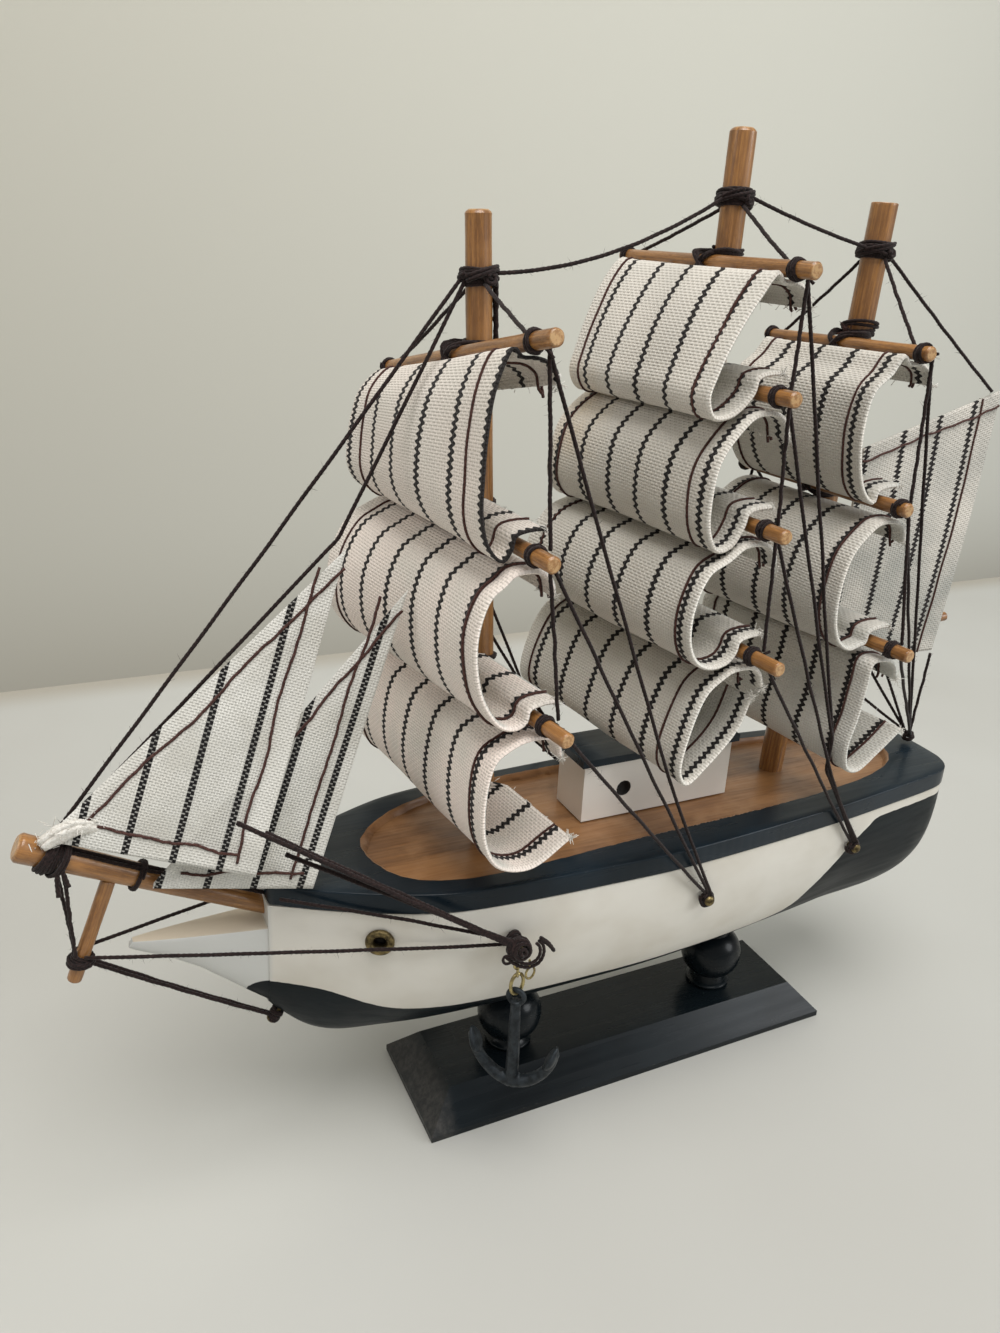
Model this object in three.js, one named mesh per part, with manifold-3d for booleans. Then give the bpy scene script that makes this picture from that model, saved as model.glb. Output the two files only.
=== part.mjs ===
// A three-masted model sailing ship on its display stand. Units are millimetres.
// +X points to the stern, +Y to starboard and +Z up. The origin is the centre of the stand's underside.
import * as THREE from "three";
import { mergeVertices } from "three/addons/utils/BufferGeometryUtils.js";
import Module from "manifold-3d";

const wasm = await Module();
wasm.setup();

// ---------------------------------------------------------------- driving dimensions
const GAP = 0.35; // left between pieces that touch
const STAND = { length: 120, width: 34, topLength: 106, topWidth: 21, height: 9.2 };
const POST_X = 32; // both posts stand this far from the middle
const BEAD_RADIUS = 8.4;
const SCREW = { radius: 1.4, headRadius: 3, headHeight: 2, length: 44 };
const HULL_TOP = 70;
const RAIL_TOP = 75;
const DECK_TOP = 73.2;
const BOW_X = -94.3;
const STERN_X = 95.6;
const MAST_FOOT = 60; // the masts stand in holes bored this deep
const MAST_DATUM = 77.6; // the height at which x and y of a mast are given
const YARD_STEP = 4.9; // a yard's axis lies this far in front of its mast's axis
const HEAD_ROOM = 3.9; // the cloth passes this far below its yard
const CLOTH = 0.8;
const NAIL_TIE_OUT = 1.7; // from the hull's side to the middle of the winding on a nail
const ROPE_RADIUS = 0.5;
const ROPE_SIDES = 6;
const TIE_SPACE = 1.7; // from a sail's side edge to the lashing beside it

// rake leans a mast aft, lean tips it to port
const MASTS = {
  fore: { x: -42.2, y: 0, rake: -2.66, lean: 0, top: 208, radius: 2.6 },
  main: { x: 7.1, y: 0, rake: 0.96, lean: 0, top: 226.5, radius: 2.7 },
  mizzen: { x: 47, y: 3.8, rake: 1.2, lean: 1.75, top: 215.3, radius: 2.8 },
};

// tilt lifts the port end, brace turns the port end forward
const YARDS = {
  fore_1: { mast: "fore", z: 182.1, half: 40.2, tilt: 8.7, brace: -1 },
  fore_2: { mast: "fore", z: 150.8, half: 40.3, tilt: 0, brace: -1.6 },
  fore_3: { mast: "fore", z: 116.7, half: 41.6, tilt: 0.3, brace: -6 },
  main_1: { mast: "main", z: 201.2, half: 34.1, tilt: -2, brace: 0.3 },
  main_2: { mast: "main", z: 177.5, half: 36.2, tilt: 0, brace: 3 },
  main_3: { mast: "main", z: 151.6, half: 38.1, tilt: 0, brace: 0.8 },
  main_4: { mast: "main", z: 124.4, half: 40.2, tilt: 0, brace: -2.3 },
  mizzen_1: { mast: "mizzen", z: 185.6, half: 27, tilt: -0.6, brace: 0.5 },
  mizzen_2: { mast: "mizzen", z: 153, half: 30.4, tilt: 0, brace: 1.9 },
  mizzen_3: { mast: "mizzen", z: 120.6, half: 35.8, tilt: 0, brace: -4.9 },
};

// A square sail hangs from yard `head` and is tied to yard `foot`, or hangs free by `depth`.
// port and starboard are its half widths. body lists its side profile: x in front of the yard,
// and how far down it is as a part of the drop. full scales the belly on the starboard side.
const SAILS = {
  fore_top: {
    head: "fore_1", foot: "fore_2", port: 31, starboard: 36, full: 1.3,
    body: [[-6.2, 0.2], [-8, 0.42], [-8.8, 0.62], [-9, 0.82], [-7.6, 0.97], [-4.8, 1.045]],
  },
  fore_middle: {
    head: "fore_2", foot: "fore_3", port: 32, starboard: 37, full: 1.3,
    body: [
      [-5.4, 0.165], [-8.4, 0.235], [-11.4, 0.45], [-11.9, 0.73], [-10.6, 0.89], [-8, 1], [-5, 1.02],
    ],
  },
  fore_lower: {
    head: "fore_3", depth: 33, port: 32, starboard: 36, full: 0.8,
    body: [[-5.4, 0.15], [-8.6, 0.22], [-11, 0.48], [-10.6, 0.78], [-7.1, 0.95], [0.2, 1], [9, 0.84]],
  },
  main_top: {
    head: "main_1", foot: "main_2", port: 27, starboard: 30, full: 1.2,
    body: [[-5.9, 0.22], [-9.4, 0.52], [-12, 0.84], [-13, 1.04], [-11.2, 1.19], [-7.6, 1.18], [-4.6, 1.08]],
  },
  main_upper: {
    head: "main_2", foot: "main_3", port: 29, starboard: 33, full: 1.4,
    body: [[-6.9, 0.27], [-11, 0.49], [-12.2, 0.8], [-11.5, 1.03], [-9, 1.17], [-5.6, 1.14]],
  },
  main_middle: {
    head: "main_3", foot: "main_4", port: 30, starboard: 34, full: 1.3,
    body: [
      [-6.6, 0.23], [-11.4, 0.33], [-14.6, 0.6], [-14.7, 0.87], [-12.7, 1.02], [-9.2, 1.085], [-5, 1.06],
    ],
  },
  main_lower: {
    head: "main_4", depth: 29.3, port: 30, starboard: 35, full: 1.3,
    body: [
      [-5, 0.17], [-9, 0.28], [-12.5, 0.6], [-13.4, 0.9], [-11.3, 1], [-6.9, 0.89], [0.4, 0.61], [3, 0.36],
    ],
  },
  mizzen_top: {
    head: "mizzen_1", foot: "mizzen_2", port: 23, starboard: 23.5, full: 1.1,
    body: [[-5.4, 0.14], [-9.2, 0.25], [-10.6, 0.5], [-9.5, 0.73], [-7.2, 0.89], [-4.7, 0.97]],
  },
  mizzen_middle: {
    head: "mizzen_2", foot: "mizzen_3", port: 26, starboard: 27, full: 1,
    body: [[-6, 0.18], [-10.6, 0.34], [-13.2, 0.62], [-13, 0.83], [-11, 0.96], [-7.5, 1.02], [-4.6, 1]],
  },
  mizzen_lower: {
    head: "mizzen_3", depth: 31.9, port: 29, starboard: 30, full: 1,
    body: [[-3.4, 0.3], [-4.4, 0.55], [-6, 0.79], [-4.8, 0.96], [-1.5, 1], [4.1, 0.88], [10.7, 0.71]],
  },
};
const SAIL_HEAD = [[2.9, -1.8], [1.6, 0], [-2.6, 0]]; // around the yard, from HEAD_ROOM below its axis
const SAIL_TAIL = [[-3.1, 0.4], [-2.4, 2.9], [0.4, 3.8], [3.4, 3.9]]; // around the yard below

// hull half breadth at the rail, and height of the keel line, along x
const BREADTH = [
  [BOW_X, 5.6], [-91, 7.4], [-84, 11.5], [-74, 16.6], [-60, 22], [-45, 24.1], [-24, 25.3], [0, 25.8],
  [45, 22.8], [70, 19.8], [87, 17.3], [91.5, 15.6], [94.2, 12.8], [STERN_X, 9.5],
];
const KEEL = [
  [BOW_X, 41], [-92.6, 38.8], [-87, 33.2], [-82, 30.4], [-76, 29.4], [-12, 29], [18, 30], [44, 32],
  [67, 34.3], [82, 37.6], [89, 41.5], [93, 47], [STERN_X, 55],
];
// the well cut in the rail board, which lies a little to starboard of the middle
const WELL_PORT = [
  [-71, 0], [-66.7, -12], [-57.3, -17.3], [-46.8, -18.8], [-8.9, -17.2], [30.5, -16.1], [50.7, -14.6],
  [70.2, -11], [80.5, -5.5],
];
const WELL_STARBOARD = [
  [84.3, 2], [79, 10.5], [68, 15.4], [45, 19.2], [20, 21.4], [-13, 22.2], [-35, 21.2], [-52.3, 18],
  [-63.1, 12.7], [-69, 6.6],
];
const HOUSE = {
  low: [-17.5, -4], high: [25.5, 8.5], top: 88.5, roof: 1.9, eave: 1.3, port: 2.1, ports: [-6, 14],
};
const SPRIT = { base: [-92.5, 0, 66], tip: [-140.3, 0, 91.5], baseRadius: 2, tipRadius: 2.9 };
const STRIKER = { top: [-125, 0, 79.2], foot: [-133.4, 0, 58], radius: 1.5 };
const FORE_NAIL = { x: -45.2, z: 61.5, out: 5.8 };
const MID_NAIL = { x: 5.6, z: 60.2, out: 3.2 };
const AFT_NAIL = { x: 54.4, z: 61.8, out: 3.2 };
const NAIL = { radius: 0.8, headRadius: 1.35, headHeight: 0.8, sunk: 3 };
const EYELET = { x: -73, z: 63, radius: 3.2, bore: 1.35, barrel: 1.9, depth: 2.4 };
const LINK = { ring: 1.35, topRing: 1.75, wire: 0.32, count: 5, bite: 0.58 };
const ANCHOR = { eye: 1.5, eyeWire: 0.4, thick: 1.8, turn: 42 }; // turn: its aft arm points outwards
const STERN_TIE = [93.4, 0, 76.4];

// ---------------------------------------------------------------- colours
const FINISHES = {
  navyPaint: { color: 0x1c2832, roughness: 0.35, metalness: 0 },
  whitePaint: { color: 0xdedad0, roughness: 0.45, metalness: 0 },
  honeyWood: { color: 0xb07c42, roughness: 0.55, metalness: 0 },
  deckWood: { color: 0x96623a, roughness: 0.5, metalness: 0 },
  canvas: { color: 0xd7d4ca, roughness: 0.95, metalness: 0 },
  thread: { color: 0x2d2020, roughness: 0.9, metalness: 0 },
  brass: { color: 0x8f7a45, roughness: 0.35, metalness: 1 },
  steel: { color: 0x8a8c90, roughness: 0.4, metalness: 1 },
  darkMetal: { color: 0x26282b, roughness: 0.55, metalness: 1 },
};

// ---------------------------------------------------------------- solids and meshes
const ship = new THREE.Group();

function addMesh(name, geometry, finish) {
  const mesh = new THREE.Mesh(geometry, new THREE.MeshStandardMaterial(FINISHES[finish]));
  mesh.name = name;
  ship.add(mesh);
  return mesh;
}

// closed three.js geometry to a manifold solid
function toSolid(geometry) {
  const flat = geometry.index ? geometry.toNonIndexed() : geometry;
  const plain = new THREE.BufferGeometry().setAttribute("position", flat.getAttribute("position"));
  const merged = mergeVertices(plain, 1e-3);
  return new wasm.Manifold(
    new wasm.Mesh({
      numProp: 3,
      vertProperties: merged.attributes.position.array,
      triVerts: new Uint32Array(merged.index.array),
    }),
  );
}

function toGeometry(solid) {
  const mesh = solid.getMesh();
  const geometry = new THREE.BufferGeometry();
  geometry.setAttribute("position", new THREE.BufferAttribute(mesh.vertProperties, 3));
  geometry.setIndex(new THREE.BufferAttribute(mesh.triVerts, 1));
  return geometry;
}

function join(solids) {
  return solids.reduce((whole, piece) => whole.add(piece));
}

function cut(solid, cutters) {
  return cutters.reduce((left, cutter) => left.subtract(cutter), solid);
}

const vector = (p) => new THREE.Vector3(...p);

// turns geometry made along +Z so that it starts at `from` and points to `to`
function aim(geometry, from, to) {
  const direction = to.clone().sub(from).normalize();
  const turn = new THREE.Quaternion().setFromUnitVectors(new THREE.Vector3(0, 0, 1), direction);
  return geometry.applyMatrix4(new THREE.Matrix4().compose(from, turn, new THREE.Vector3(1, 1, 1)));
}

// a round tapered rod between two points
function rod(from, to, startRadius, endRadius, sides) {
  const length = from.distanceTo(to);
  const geometry = new THREE.CylinderGeometry(endRadius, startRadius, length, sides);
  geometry.rotateX(Math.PI / 2);
  geometry.translate(0, 0, length / 2);
  return aim(geometry, from, to);
}

// a turned piece: profile points are [radius, height] on a closed loop or from axis to axis
function turned(profile, sides) {
  const points = profile.map(([r, z]) => new THREE.Vector2(r, z));
  return new THREE.LatheGeometry(points, sides).rotateX(Math.PI / 2);
}

// a square-edged ring around the axis from `at` towards `along`
function collar(at, along, inner, outer, width, sides = 10) {
  const half = width / 2;
  const profile = [[inner, -half], [outer, -half], [outer, half], [inner, half], [inner, -half]];
  return toSolid(aim(turned(profile, sides), at, along));
}

// a smooth curve through [x, y] pairs, read as y at x
function smooth(table) {
  const slope = (i) => {
    const a = table[Math.max(i - 1, 0)];
    const b = table[Math.min(i + 1, table.length - 1)];
    return (b[1] - a[1]) / (b[0] - a[0]);
  };
  return (x) => {
    let i = 0;
    while (i < table.length - 2 && x > table[i + 1][0]) i += 1;
    const [x0, y0] = table[i];
    const [x1, y1] = table[i + 1];
    const h = x1 - x0;
    const t = (x - x0) / h;
    const curve = (2 * t ** 3 - 3 * t ** 2 + 1) * y0 + (3 * t ** 2 - 2 * t ** 3) * y1;
    return curve + h * ((t ** 3 - 2 * t ** 2 + t) * slope(i) + (t ** 3 - t ** 2) * slope(i + 1));
  };
}

// a closed skin over rings of points, with flat ends; flatten gives a ring point's 2D place
function loft(rings, flatten) {
  const count = rings[0].length;
  const positions = rings.flat().flatMap((p) => [p.x, p.y, p.z]);
  const index = [];
  for (let r = 0; r < rings.length - 1; r += 1) {
    for (let i = 0; i < count; i += 1) {
      const a = r * count + i;
      const b = r * count + ((i + 1) % count);
      index.push(a, b, b + count, a, b + count, a + count);
    }
  }
  const contour = rings[0].map(flatten);
  const faces = THREE.ShapeUtils.triangulateShape(contour, []);
  const clockwise = THREE.ShapeUtils.area(contour) < 0;
  const last = (rings.length - 1) * count;
  for (const face of faces) {
    const [a, b, c] = clockwise ? [...face].reverse() : face;
    index.push(a, c, b, last + a, last + b, last + c);
  }
  const geometry = new THREE.BufferGeometry();
  geometry.setAttribute("position", new THREE.Float32BufferAttribute(positions, 3));
  geometry.setIndex(index);
  return facingOut(geometry);
}

// turns a closed geometry's faces round if they point inwards
function facingOut(geometry) {
  if (toSolid(geometry).volume() < 0) {
    const index = geometry.index.array;
    for (let i = 0; i < index.length; i += 3) {
      [index[i], index[i + 1]] = [index[i + 1], index[i]];
    }
  }
  return geometry;
}

function plate(outline, holes, bottom, top) {
  const shape = new THREE.Shape(outline.map(([x, y]) => new THREE.Vector2(x, y)));
  shape.holes = holes.map((hole) => new THREE.Path(hole.map(([x, y]) => new THREE.Vector2(x, y))));
  const geometry = new THREE.ExtrudeGeometry(shape, { depth: top - bottom, bevelEnabled: false });
  return geometry.translate(0, 0, bottom);
}

// ---------------------------------------------------------------- places on the masts and yards
function mastPoint(name, z) {
  const mast = MASTS[name];
  const rise = z - MAST_DATUM;
  const x = mast.x + Math.tan(THREE.MathUtils.degToRad(mast.rake)) * rise;
  const y = mast.y - Math.tan(THREE.MathUtils.degToRad(mast.lean)) * rise;
  return new THREE.Vector3(x, y, z);
}

// the point at `reach` along a yard from its mast, negative to port
function yardPoint(name, reach) {
  const yard = YARDS[name];
  const tilt = THREE.MathUtils.degToRad(yard.tilt);
  const brace = THREE.MathUtils.degToRad(yard.brace);
  const toStarboard = new THREE.Vector3(
    Math.sin(brace) * Math.cos(tilt),
    Math.cos(brace) * Math.cos(tilt),
    -Math.sin(tilt),
  );
  const centre = mastPoint(yard.mast, yard.z).setY(0);
  centre.x -= YARD_STEP;
  return centre.addScaledVector(toStarboard, reach);
}

function mastRod(name, grow) {
  const mast = MASTS[name];
  const foot = mastPoint(name, MAST_FOOT);
  const top = mastPoint(name, mast.top);
  return rod(foot, top, mast.radius + 0.2 + grow, mast.radius + grow, 12);
}

// ---------------------------------------------------------------- stand
function buildStand() {
  const { length, width, topLength, topWidth, height } = STAND;
  const ring = (l, w, z) =>
    [[-l, -w], [l, -w], [l, w], [-l, w]].map(([x, y]) => new THREE.Vector3(x / 2, y / 2, z));
  const foot = 1.6; // a low upright edge below the bevel
  const rings = [ring(length, width, 0), ring(length, width, foot), ring(topLength, topWidth, height)];
  const block = toSolid(loft(rings, (p) => new THREE.Vector2(p.x, p.y)));
  const holes = [-POST_X, POST_X].map((x) => screwSolid(x, GAP));
  addMesh("stand_base", toGeometry(cut(block, holes)), "navyPaint");
  for (const [name, x] of [["fore", -POST_X], ["aft", POST_X]]) {
    addMesh("stand_post_" + name, postGeometry(x), "navyPaint");
    addMesh("stand_screw_" + name, toGeometry(screwSolid(x, 0)), "steel");
  }
}

// a turned bead between two necks, bored for its screw
function postGeometry(x) {
  const low = STAND.height + GAP;
  const high = keelAt(x) - GAP;
  const bore = SCREW.radius + GAP;
  const middle = low + 0.46 * (high - low);
  const profile = [[bore, low], [6, low], [6.2, low + 1.6]];
  for (let i = 1; i < 8; i += 1) {
    const angle = -Math.PI / 2 + (Math.PI * (i + 0.6)) / 9.4;
    profile.push([BEAD_RADIUS * Math.cos(angle) ** 0.8, middle + 7.4 * Math.sin(angle)]);
  }
  profile.push([4.3, high - 1.6], [4.6, high], [bore, high], [bore, low]);
  return turned(profile, 16).translate(x, 0, 0);
}

function screwSolid(x, grow) {
  const { radius, headRadius, headHeight, length } = SCREW;
  const r = radius + grow;
  const lift = 0.4 - grow * 2; // the head sits just inside the underside
  const profile = [
    [0, lift], [headRadius + grow, lift], [headRadius + grow, 0.4 + grow],
    [r, 0.4 + headHeight + grow], [r, length + grow], [0, length + grow],
  ];
  return toSolid(turned(profile, 12).translate(x, 0, 0));
}

// ---------------------------------------------------------------- hull
const breadthAt = smooth(BREADTH);
const keelAt = smooth(KEEL);
const SECTION_STEPS = 7;

// how boxy the section is: rounder amidships, fuller towards the stern
function sectionPower(x) {
  return 2.2 + THREE.MathUtils.smoothstep(x, 55, 90);
}

function halfBreadth(x, z) {
  const power = sectionPower(x);
  const down = THREE.MathUtils.clamp((HULL_TOP - z) / (HULL_TOP - keelAt(x)), 0, 1);
  return breadthAt(x) * (1 - down ** power) ** (1 / power);
}

function hullSection(x) {
  const power = sectionPower(x);
  const side = [];
  for (let i = 0; i < SECTION_STEPS; i += 1) {
    const angle = (Math.PI / 2) * (i / SECTION_STEPS);
    const y = breadthAt(x) * Math.cos(angle) ** (2 / power);
    const z = HULL_TOP - (HULL_TOP - keelAt(x)) * Math.sin(angle) ** (2 / power);
    side.push([y, z]);
  }
  const keel = [[0, keelAt(x)]];
  const port = side.map(([y, z]) => [-y, z]).reverse();
  return [...side, ...keel, ...port].map(([y, z]) => new THREE.Vector3(x, y, z));
}

function hullSolid() {
  const stations = [
    BOW_X, -92, -88, -83, -77, -70, -60, -48, -30, -10, 15, 40, 60, 75, 84, 90, 93, 94.8, STERN_X,
  ];
  return toSolid(loft(stations.map(hullSection), (p) => new THREE.Vector2(p.y, p.z)));
}

function outlineAt(inset) {
  const xs = [-88, -83, -77, -70, -60, -48, -30, -10, 15, 40, 60, 75, 84, 90, 93, 94.8];
  const ends = [BOW_X + inset, STERN_X - inset];
  const stations = [ends[0], ...xs, ends[1]];
  const starboard = stations.map((x) => [x, breadthAt(x) - inset]);
  const port = stations.map((x) => [x, inset - breadthAt(x)]).reverse();
  return [...starboard, ...port];
}

function wellOutline(inset) {
  const points = [...WELL_PORT, ...WELL_STARBOARD].map(([x, y]) => new THREE.Vector3(x, y, 0));
  const curve = new THREE.CatmullRomCurve3(points, true);
  const centre = new THREE.Vector3(6, 2, 0);
  return curve.getPoints(40).slice(0, 40).map((p) => {
    const inwards = centre.clone().sub(p);
    const scaled = new THREE.Vector3(inwards.x / 4, inwards.y, 0).normalize();
    return [p.x + scaled.x * inset, p.y + scaled.y * inset];
  });
}

function buildHull() {
  const mastHoles = Object.keys(MASTS).map((name) => toSolid(mastRod(name, GAP)));
  const sprit = spritSolid(GAP);
  const screws = [-POST_X, POST_X].map((x) => screwSolid(x, GAP));
  const cutters = [...mastHoles, sprit, ...screws, ...nailSolids(GAP), ...eyeletHoles()];
  addMesh("hull", toGeometry(cut(hullSolid(), cutters)), "whitePaint");
  const rail = plate(outlineAt(-0.25), [wellOutline(0)], HULL_TOP + GAP, RAIL_TOP);
  addMesh("rail_board", toGeometry(cut(toSolid(rail), [sprit])), "navyPaint");
  const deck = plate(wellOutline(GAP), [], HULL_TOP + GAP, DECK_TOP);
  addMesh("deck_board", toGeometry(cut(toSolid(deck), mastHoles)), "deckWood");
  buildBeak(sprit);
}

// the narrow cutwater glued to the blunt bow
function buildBeak(sprit) {
  const back = BOW_X - GAP;
  const outline = [
    [back, 41.6], [-98, 44.9], [-103, 49.6], [-108.3, 54.8], [-115, 59.6], [-120.6, 62.4], [-122, 63.8],
    [-121.2, 64.8], [-108, 64.4], [back, 63.8],
  ];
  const shape = new THREE.Shape(outline.map(([x, z]) => new THREE.Vector2(x, z)));
  const width = 9;
  const geometry = new THREE.ExtrudeGeometry(shape, { depth: width, bevelEnabled: false });
  geometry.translate(0, 0, -width / 2).rotateX(Math.PI / 2);
  const place = geometry.attributes.position;
  for (let i = 0; i < place.count; i += 1) {
    const t = THREE.MathUtils.clamp((place.getX(i) + 122) / (back + 122), 0, 1);
    const low = THREE.MathUtils.clamp((place.getZ(i) - 40) / 24, 0, 1);
    place.setY(i, place.getY(i) * (0.24 + 0.76 * t) * (0.5 + 0.5 * low));
  }
  addMesh("cutwater", toGeometry(cut(toSolid(geometry), [sprit])), "whitePaint");
}

function spritSolid(grow) {
  const base = vector(SPRIT.base);
  const tip = vector(SPRIT.tip);
  const out = tip.clone().sub(base).normalize().multiplyScalar(grow);
  return toSolid(rod(base.sub(out), tip, SPRIT.baseRadius + grow, SPRIT.tipRadius + grow, 8));
}

function buildHeadGear() {
  addMesh("bowsprit", toGeometry(spritSolid(0)), "honeyWood");
  const striker = rod(vector(STRIKER.top), vector(STRIKER.foot), STRIKER.radius, STRIKER.radius, 8);
  const solid = toSolid(striker).subtract(spritSolid(GAP));
  addMesh("dolphin_striker", toGeometry(solid), "honeyWood");
}

// ---------------------------------------------------------------- nails, eyelets and the deckhouse
function nailSolid(root, tip, grow) {
  const length = root.distanceTo(tip);
  const r = NAIL.radius + grow;
  const headRadius = NAIL.headRadius + grow;
  const profile = [
    [0, -NAIL.sunk - grow], [r, -NAIL.sunk - grow], [r, length - NAIL.headHeight],
    [headRadius, length - NAIL.headHeight], [headRadius * 0.8, length], [0, length],
  ];
  return toSolid(aim(turned(profile, 8), root, tip));
}

function sideNail(spec, side) {
  const reach = halfBreadth(spec.x, spec.z);
  const at = (y) => new THREE.Vector3(spec.x, side * y, spec.z);
  return [at(reach), at(reach + spec.out)];
}

const SIDES = { port: -1, starboard: 1 };
const SIDE_NAILS = { fore: FORE_NAIL, mid: MID_NAIL, aft: AFT_NAIL };
const BOBSTAY_NAIL = [new THREE.Vector3(-91.4, 0, 38.2), new THREE.Vector3(-93.9, 0, 34.8)];

function nailEnds() {
  const ends = { nail_bobstay: BOBSTAY_NAIL };
  for (const [side, sign] of Object.entries(SIDES)) {
    for (const [place, spec] of Object.entries(SIDE_NAILS)) {
      ends["nail_" + place + "_" + side] = sideNail(spec, sign);
    }
  }
  return ends;
}

function nailSolids(grow) {
  return Object.values(nailEnds()).map(([root, tip]) => nailSolid(root, tip, grow));
}

function buildNails() {
  for (const [name, [root, tip]] of Object.entries(nailEnds())) {
    addMesh(name, toGeometry(nailSolid(root, tip, 0)), "brass");
  }
}

// where an eyelet sits on the hull's side, and the direction it faces
function eyeletPlace(sign) {
  const step = 1;
  const reach = (x, z) => halfBreadth(x, z);
  const at = new THREE.Vector3(EYELET.x, sign * reach(EYELET.x, EYELET.z), EYELET.z);
  const slopeX = (reach(EYELET.x + step, EYELET.z) - reach(EYELET.x - step, EYELET.z)) / (2 * step);
  const facing = new THREE.Vector3(-slopeX, sign, 0).normalize();
  return { at, facing };
}

function eyeletHoles() {
  return Object.values(SIDES).map((sign) => {
    const { at, facing } = eyeletPlace(sign);
    const back = at.clone().addScaledVector(facing, -EYELET.depth - 2 * GAP);
    const front = at.clone().addScaledVector(facing, 2);
    return toSolid(rod(back, front, EYELET.barrel + GAP, EYELET.barrel + GAP, 12));
  });
}

function buildEyelets() {
  const { radius, bore, barrel, depth } = EYELET;
  const stand = GAP + 0.15; // a flat flange on a curved side stands just off it
  const profile = [
    [bore, -depth], [barrel, -depth], [barrel, stand], [radius, stand], [radius, stand + 0.3],
    [radius - 0.9, stand + 0.9], [bore + 0.3, stand + 0.7], [bore, stand], [bore, -depth],
  ];
  for (const [side, sign] of Object.entries(SIDES)) {
    const { at, facing } = eyeletPlace(sign);
    addMesh("hawse_eyelet_" + side, aim(turned(profile, 16), at, at.clone().add(facing)), "brass");
  }
}

function buildDeckhouse() {
  const [x0, y0] = HOUSE.low;
  const [x1, y1] = HOUSE.high;
  const box = (grow) => [
    [x0 - grow, y0 - grow], [x1 + grow, y0 - grow], [x1 + grow, y1 + grow], [x0 - grow, y1 + grow],
  ];
  const mast = toSolid(mastRod("main", GAP));
  const portDepth = 1.4;
  const portHoles = HOUSE.ports.flatMap((x) =>
    [[y0 - 1, y0 + portDepth], [y1 - portDepth, y1 + 1]].map(([from, to]) => {
      const z = DECK_TOP + 7.6;
      const [a, b] = [new THREE.Vector3(x, from, z), new THREE.Vector3(x, to, z)];
      return toSolid(rod(a, b, HOUSE.port, HOUSE.port, 12));
    }),
  );
  const walls = toSolid(plate(box(0), [], DECK_TOP + GAP, HOUSE.top));
  addMesh("deckhouse_block", toGeometry(cut(walls, [mast, ...portHoles])), "whitePaint");
  const roof = toSolid(plate(box(HOUSE.eave), [], HOUSE.top + GAP, HOUSE.top + GAP + HOUSE.roof));
  addMesh("deckhouse_roof", toGeometry(cut(roof, [mast])), "navyPaint");
}

// ---------------------------------------------------------------- masts, yards and boom
function buildSpars() {
  for (const name of Object.keys(MASTS)) {
    addMesh("mast_" + name, mastRod(name, 0), "honeyWood");
  }
  for (const [name, yard] of Object.entries(YARDS)) {
    const port = yardPoint(name, -yard.half);
    const starboard = yardPoint(name, yard.half);
    addMesh("yard_" + name, rod(port, starboard, 1.85, 1.4, 8), "honeyWood");
  }
  const boom = rod(BOOM_FOOT, BOOM_END, 1.3, 1.3, 8);
  addMesh("boom", boom, "honeyWood");
}
const BOOM_FOOT = new THREE.Vector3(51.6, 4.2, 108);
const BOOM_END = new THREE.Vector3(100.7, 2.4, 112.4);

// ---------------------------------------------------------------- sails
// a sail's side profile at one edge: points in x and z, from the head flap to the foot
function sailProfile(sail, reach) {
  const head = yardPoint(sail.head, reach);
  const foot = sail.foot ? yardPoint(sail.foot, reach) : null;
  const drop = foot ? head.z - foot.z : sail.depth;
  const full = reach > 0 ? sail.full : 1;
  const place = (x, z) => new THREE.Vector3(x, head.y, z);
  const points = SAIL_HEAD.map(([x, z]) => place(head.x + x, head.z - HEAD_ROOM + z));
  for (const [x, part] of sail.body) {
    const drift = foot ? (foot.x - head.x) * part : 0;
    points.push(place(head.x + drift + (x < 0 ? x * full : x), head.z - part * drop));
  }
  if (foot) {
    points.push(...SAIL_TAIL.map(([x, z]) => place(foot.x + x, foot.z + z)));
  }
  return new THREE.CatmullRomCurve3(points, false, "centripetal").getPoints(18);
}

// a closed loop around a profile, half a cloth's thickness each way
function clothLoop(profile) {
  const offset = (sign) =>
    profile.map((p, i) => {
      const a = profile[Math.max(i - 1, 0)];
      const b = profile[Math.min(i + 1, profile.length - 1)];
      const along = b.clone().sub(a).normalize();
      return new THREE.Vector3(p.x - (sign * along.z * CLOTH) / 2, p.y, p.z + (sign * along.x * CLOTH) / 2);
    });
  return [...offset(1), ...offset(-1).reverse()];
}

function buildSquareSails() {
  for (const [name, sail] of Object.entries(SAILS)) {
    const rings = [-sail.port, sail.starboard].map((reach) => clothLoop(sailProfile(sail, reach)));
    const cloth = toSolid(loft(rings, (p) => new THREE.Vector2(p.x, p.z)));
    const mast = toSolid(mastRod(YARDS[sail.head].mast, GAP));
    addMesh("sail_" + name, toGeometry(cloth.subtract(mast)), "canvas");
  }
}

// a flat sail with corners given in order round its edge
function flatSail(name, corners) {
  const points = corners.map(vector);
  const along = points[1].clone().sub(points[0]).normalize();
  const normal = along.clone().cross(points[2].clone().sub(points[0])).normalize();
  const rise = normal.clone().cross(along);
  const shape = new THREE.Shape(
    points.map((p) => {
      const d = p.clone().sub(points[0]);
      return new THREE.Vector2(d.dot(along), d.dot(rise));
    }),
  );
  const geometry = new THREE.ExtrudeGeometry(shape, { depth: CLOTH, bevelEnabled: false });
  geometry.translate(0, 0, -CLOTH / 2);
  geometry.applyMatrix4(new THREE.Matrix4().makeBasis(along, rise, normal).setPosition(points[0]));
  return addMesh(name, geometry, "canvas");
}

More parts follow.
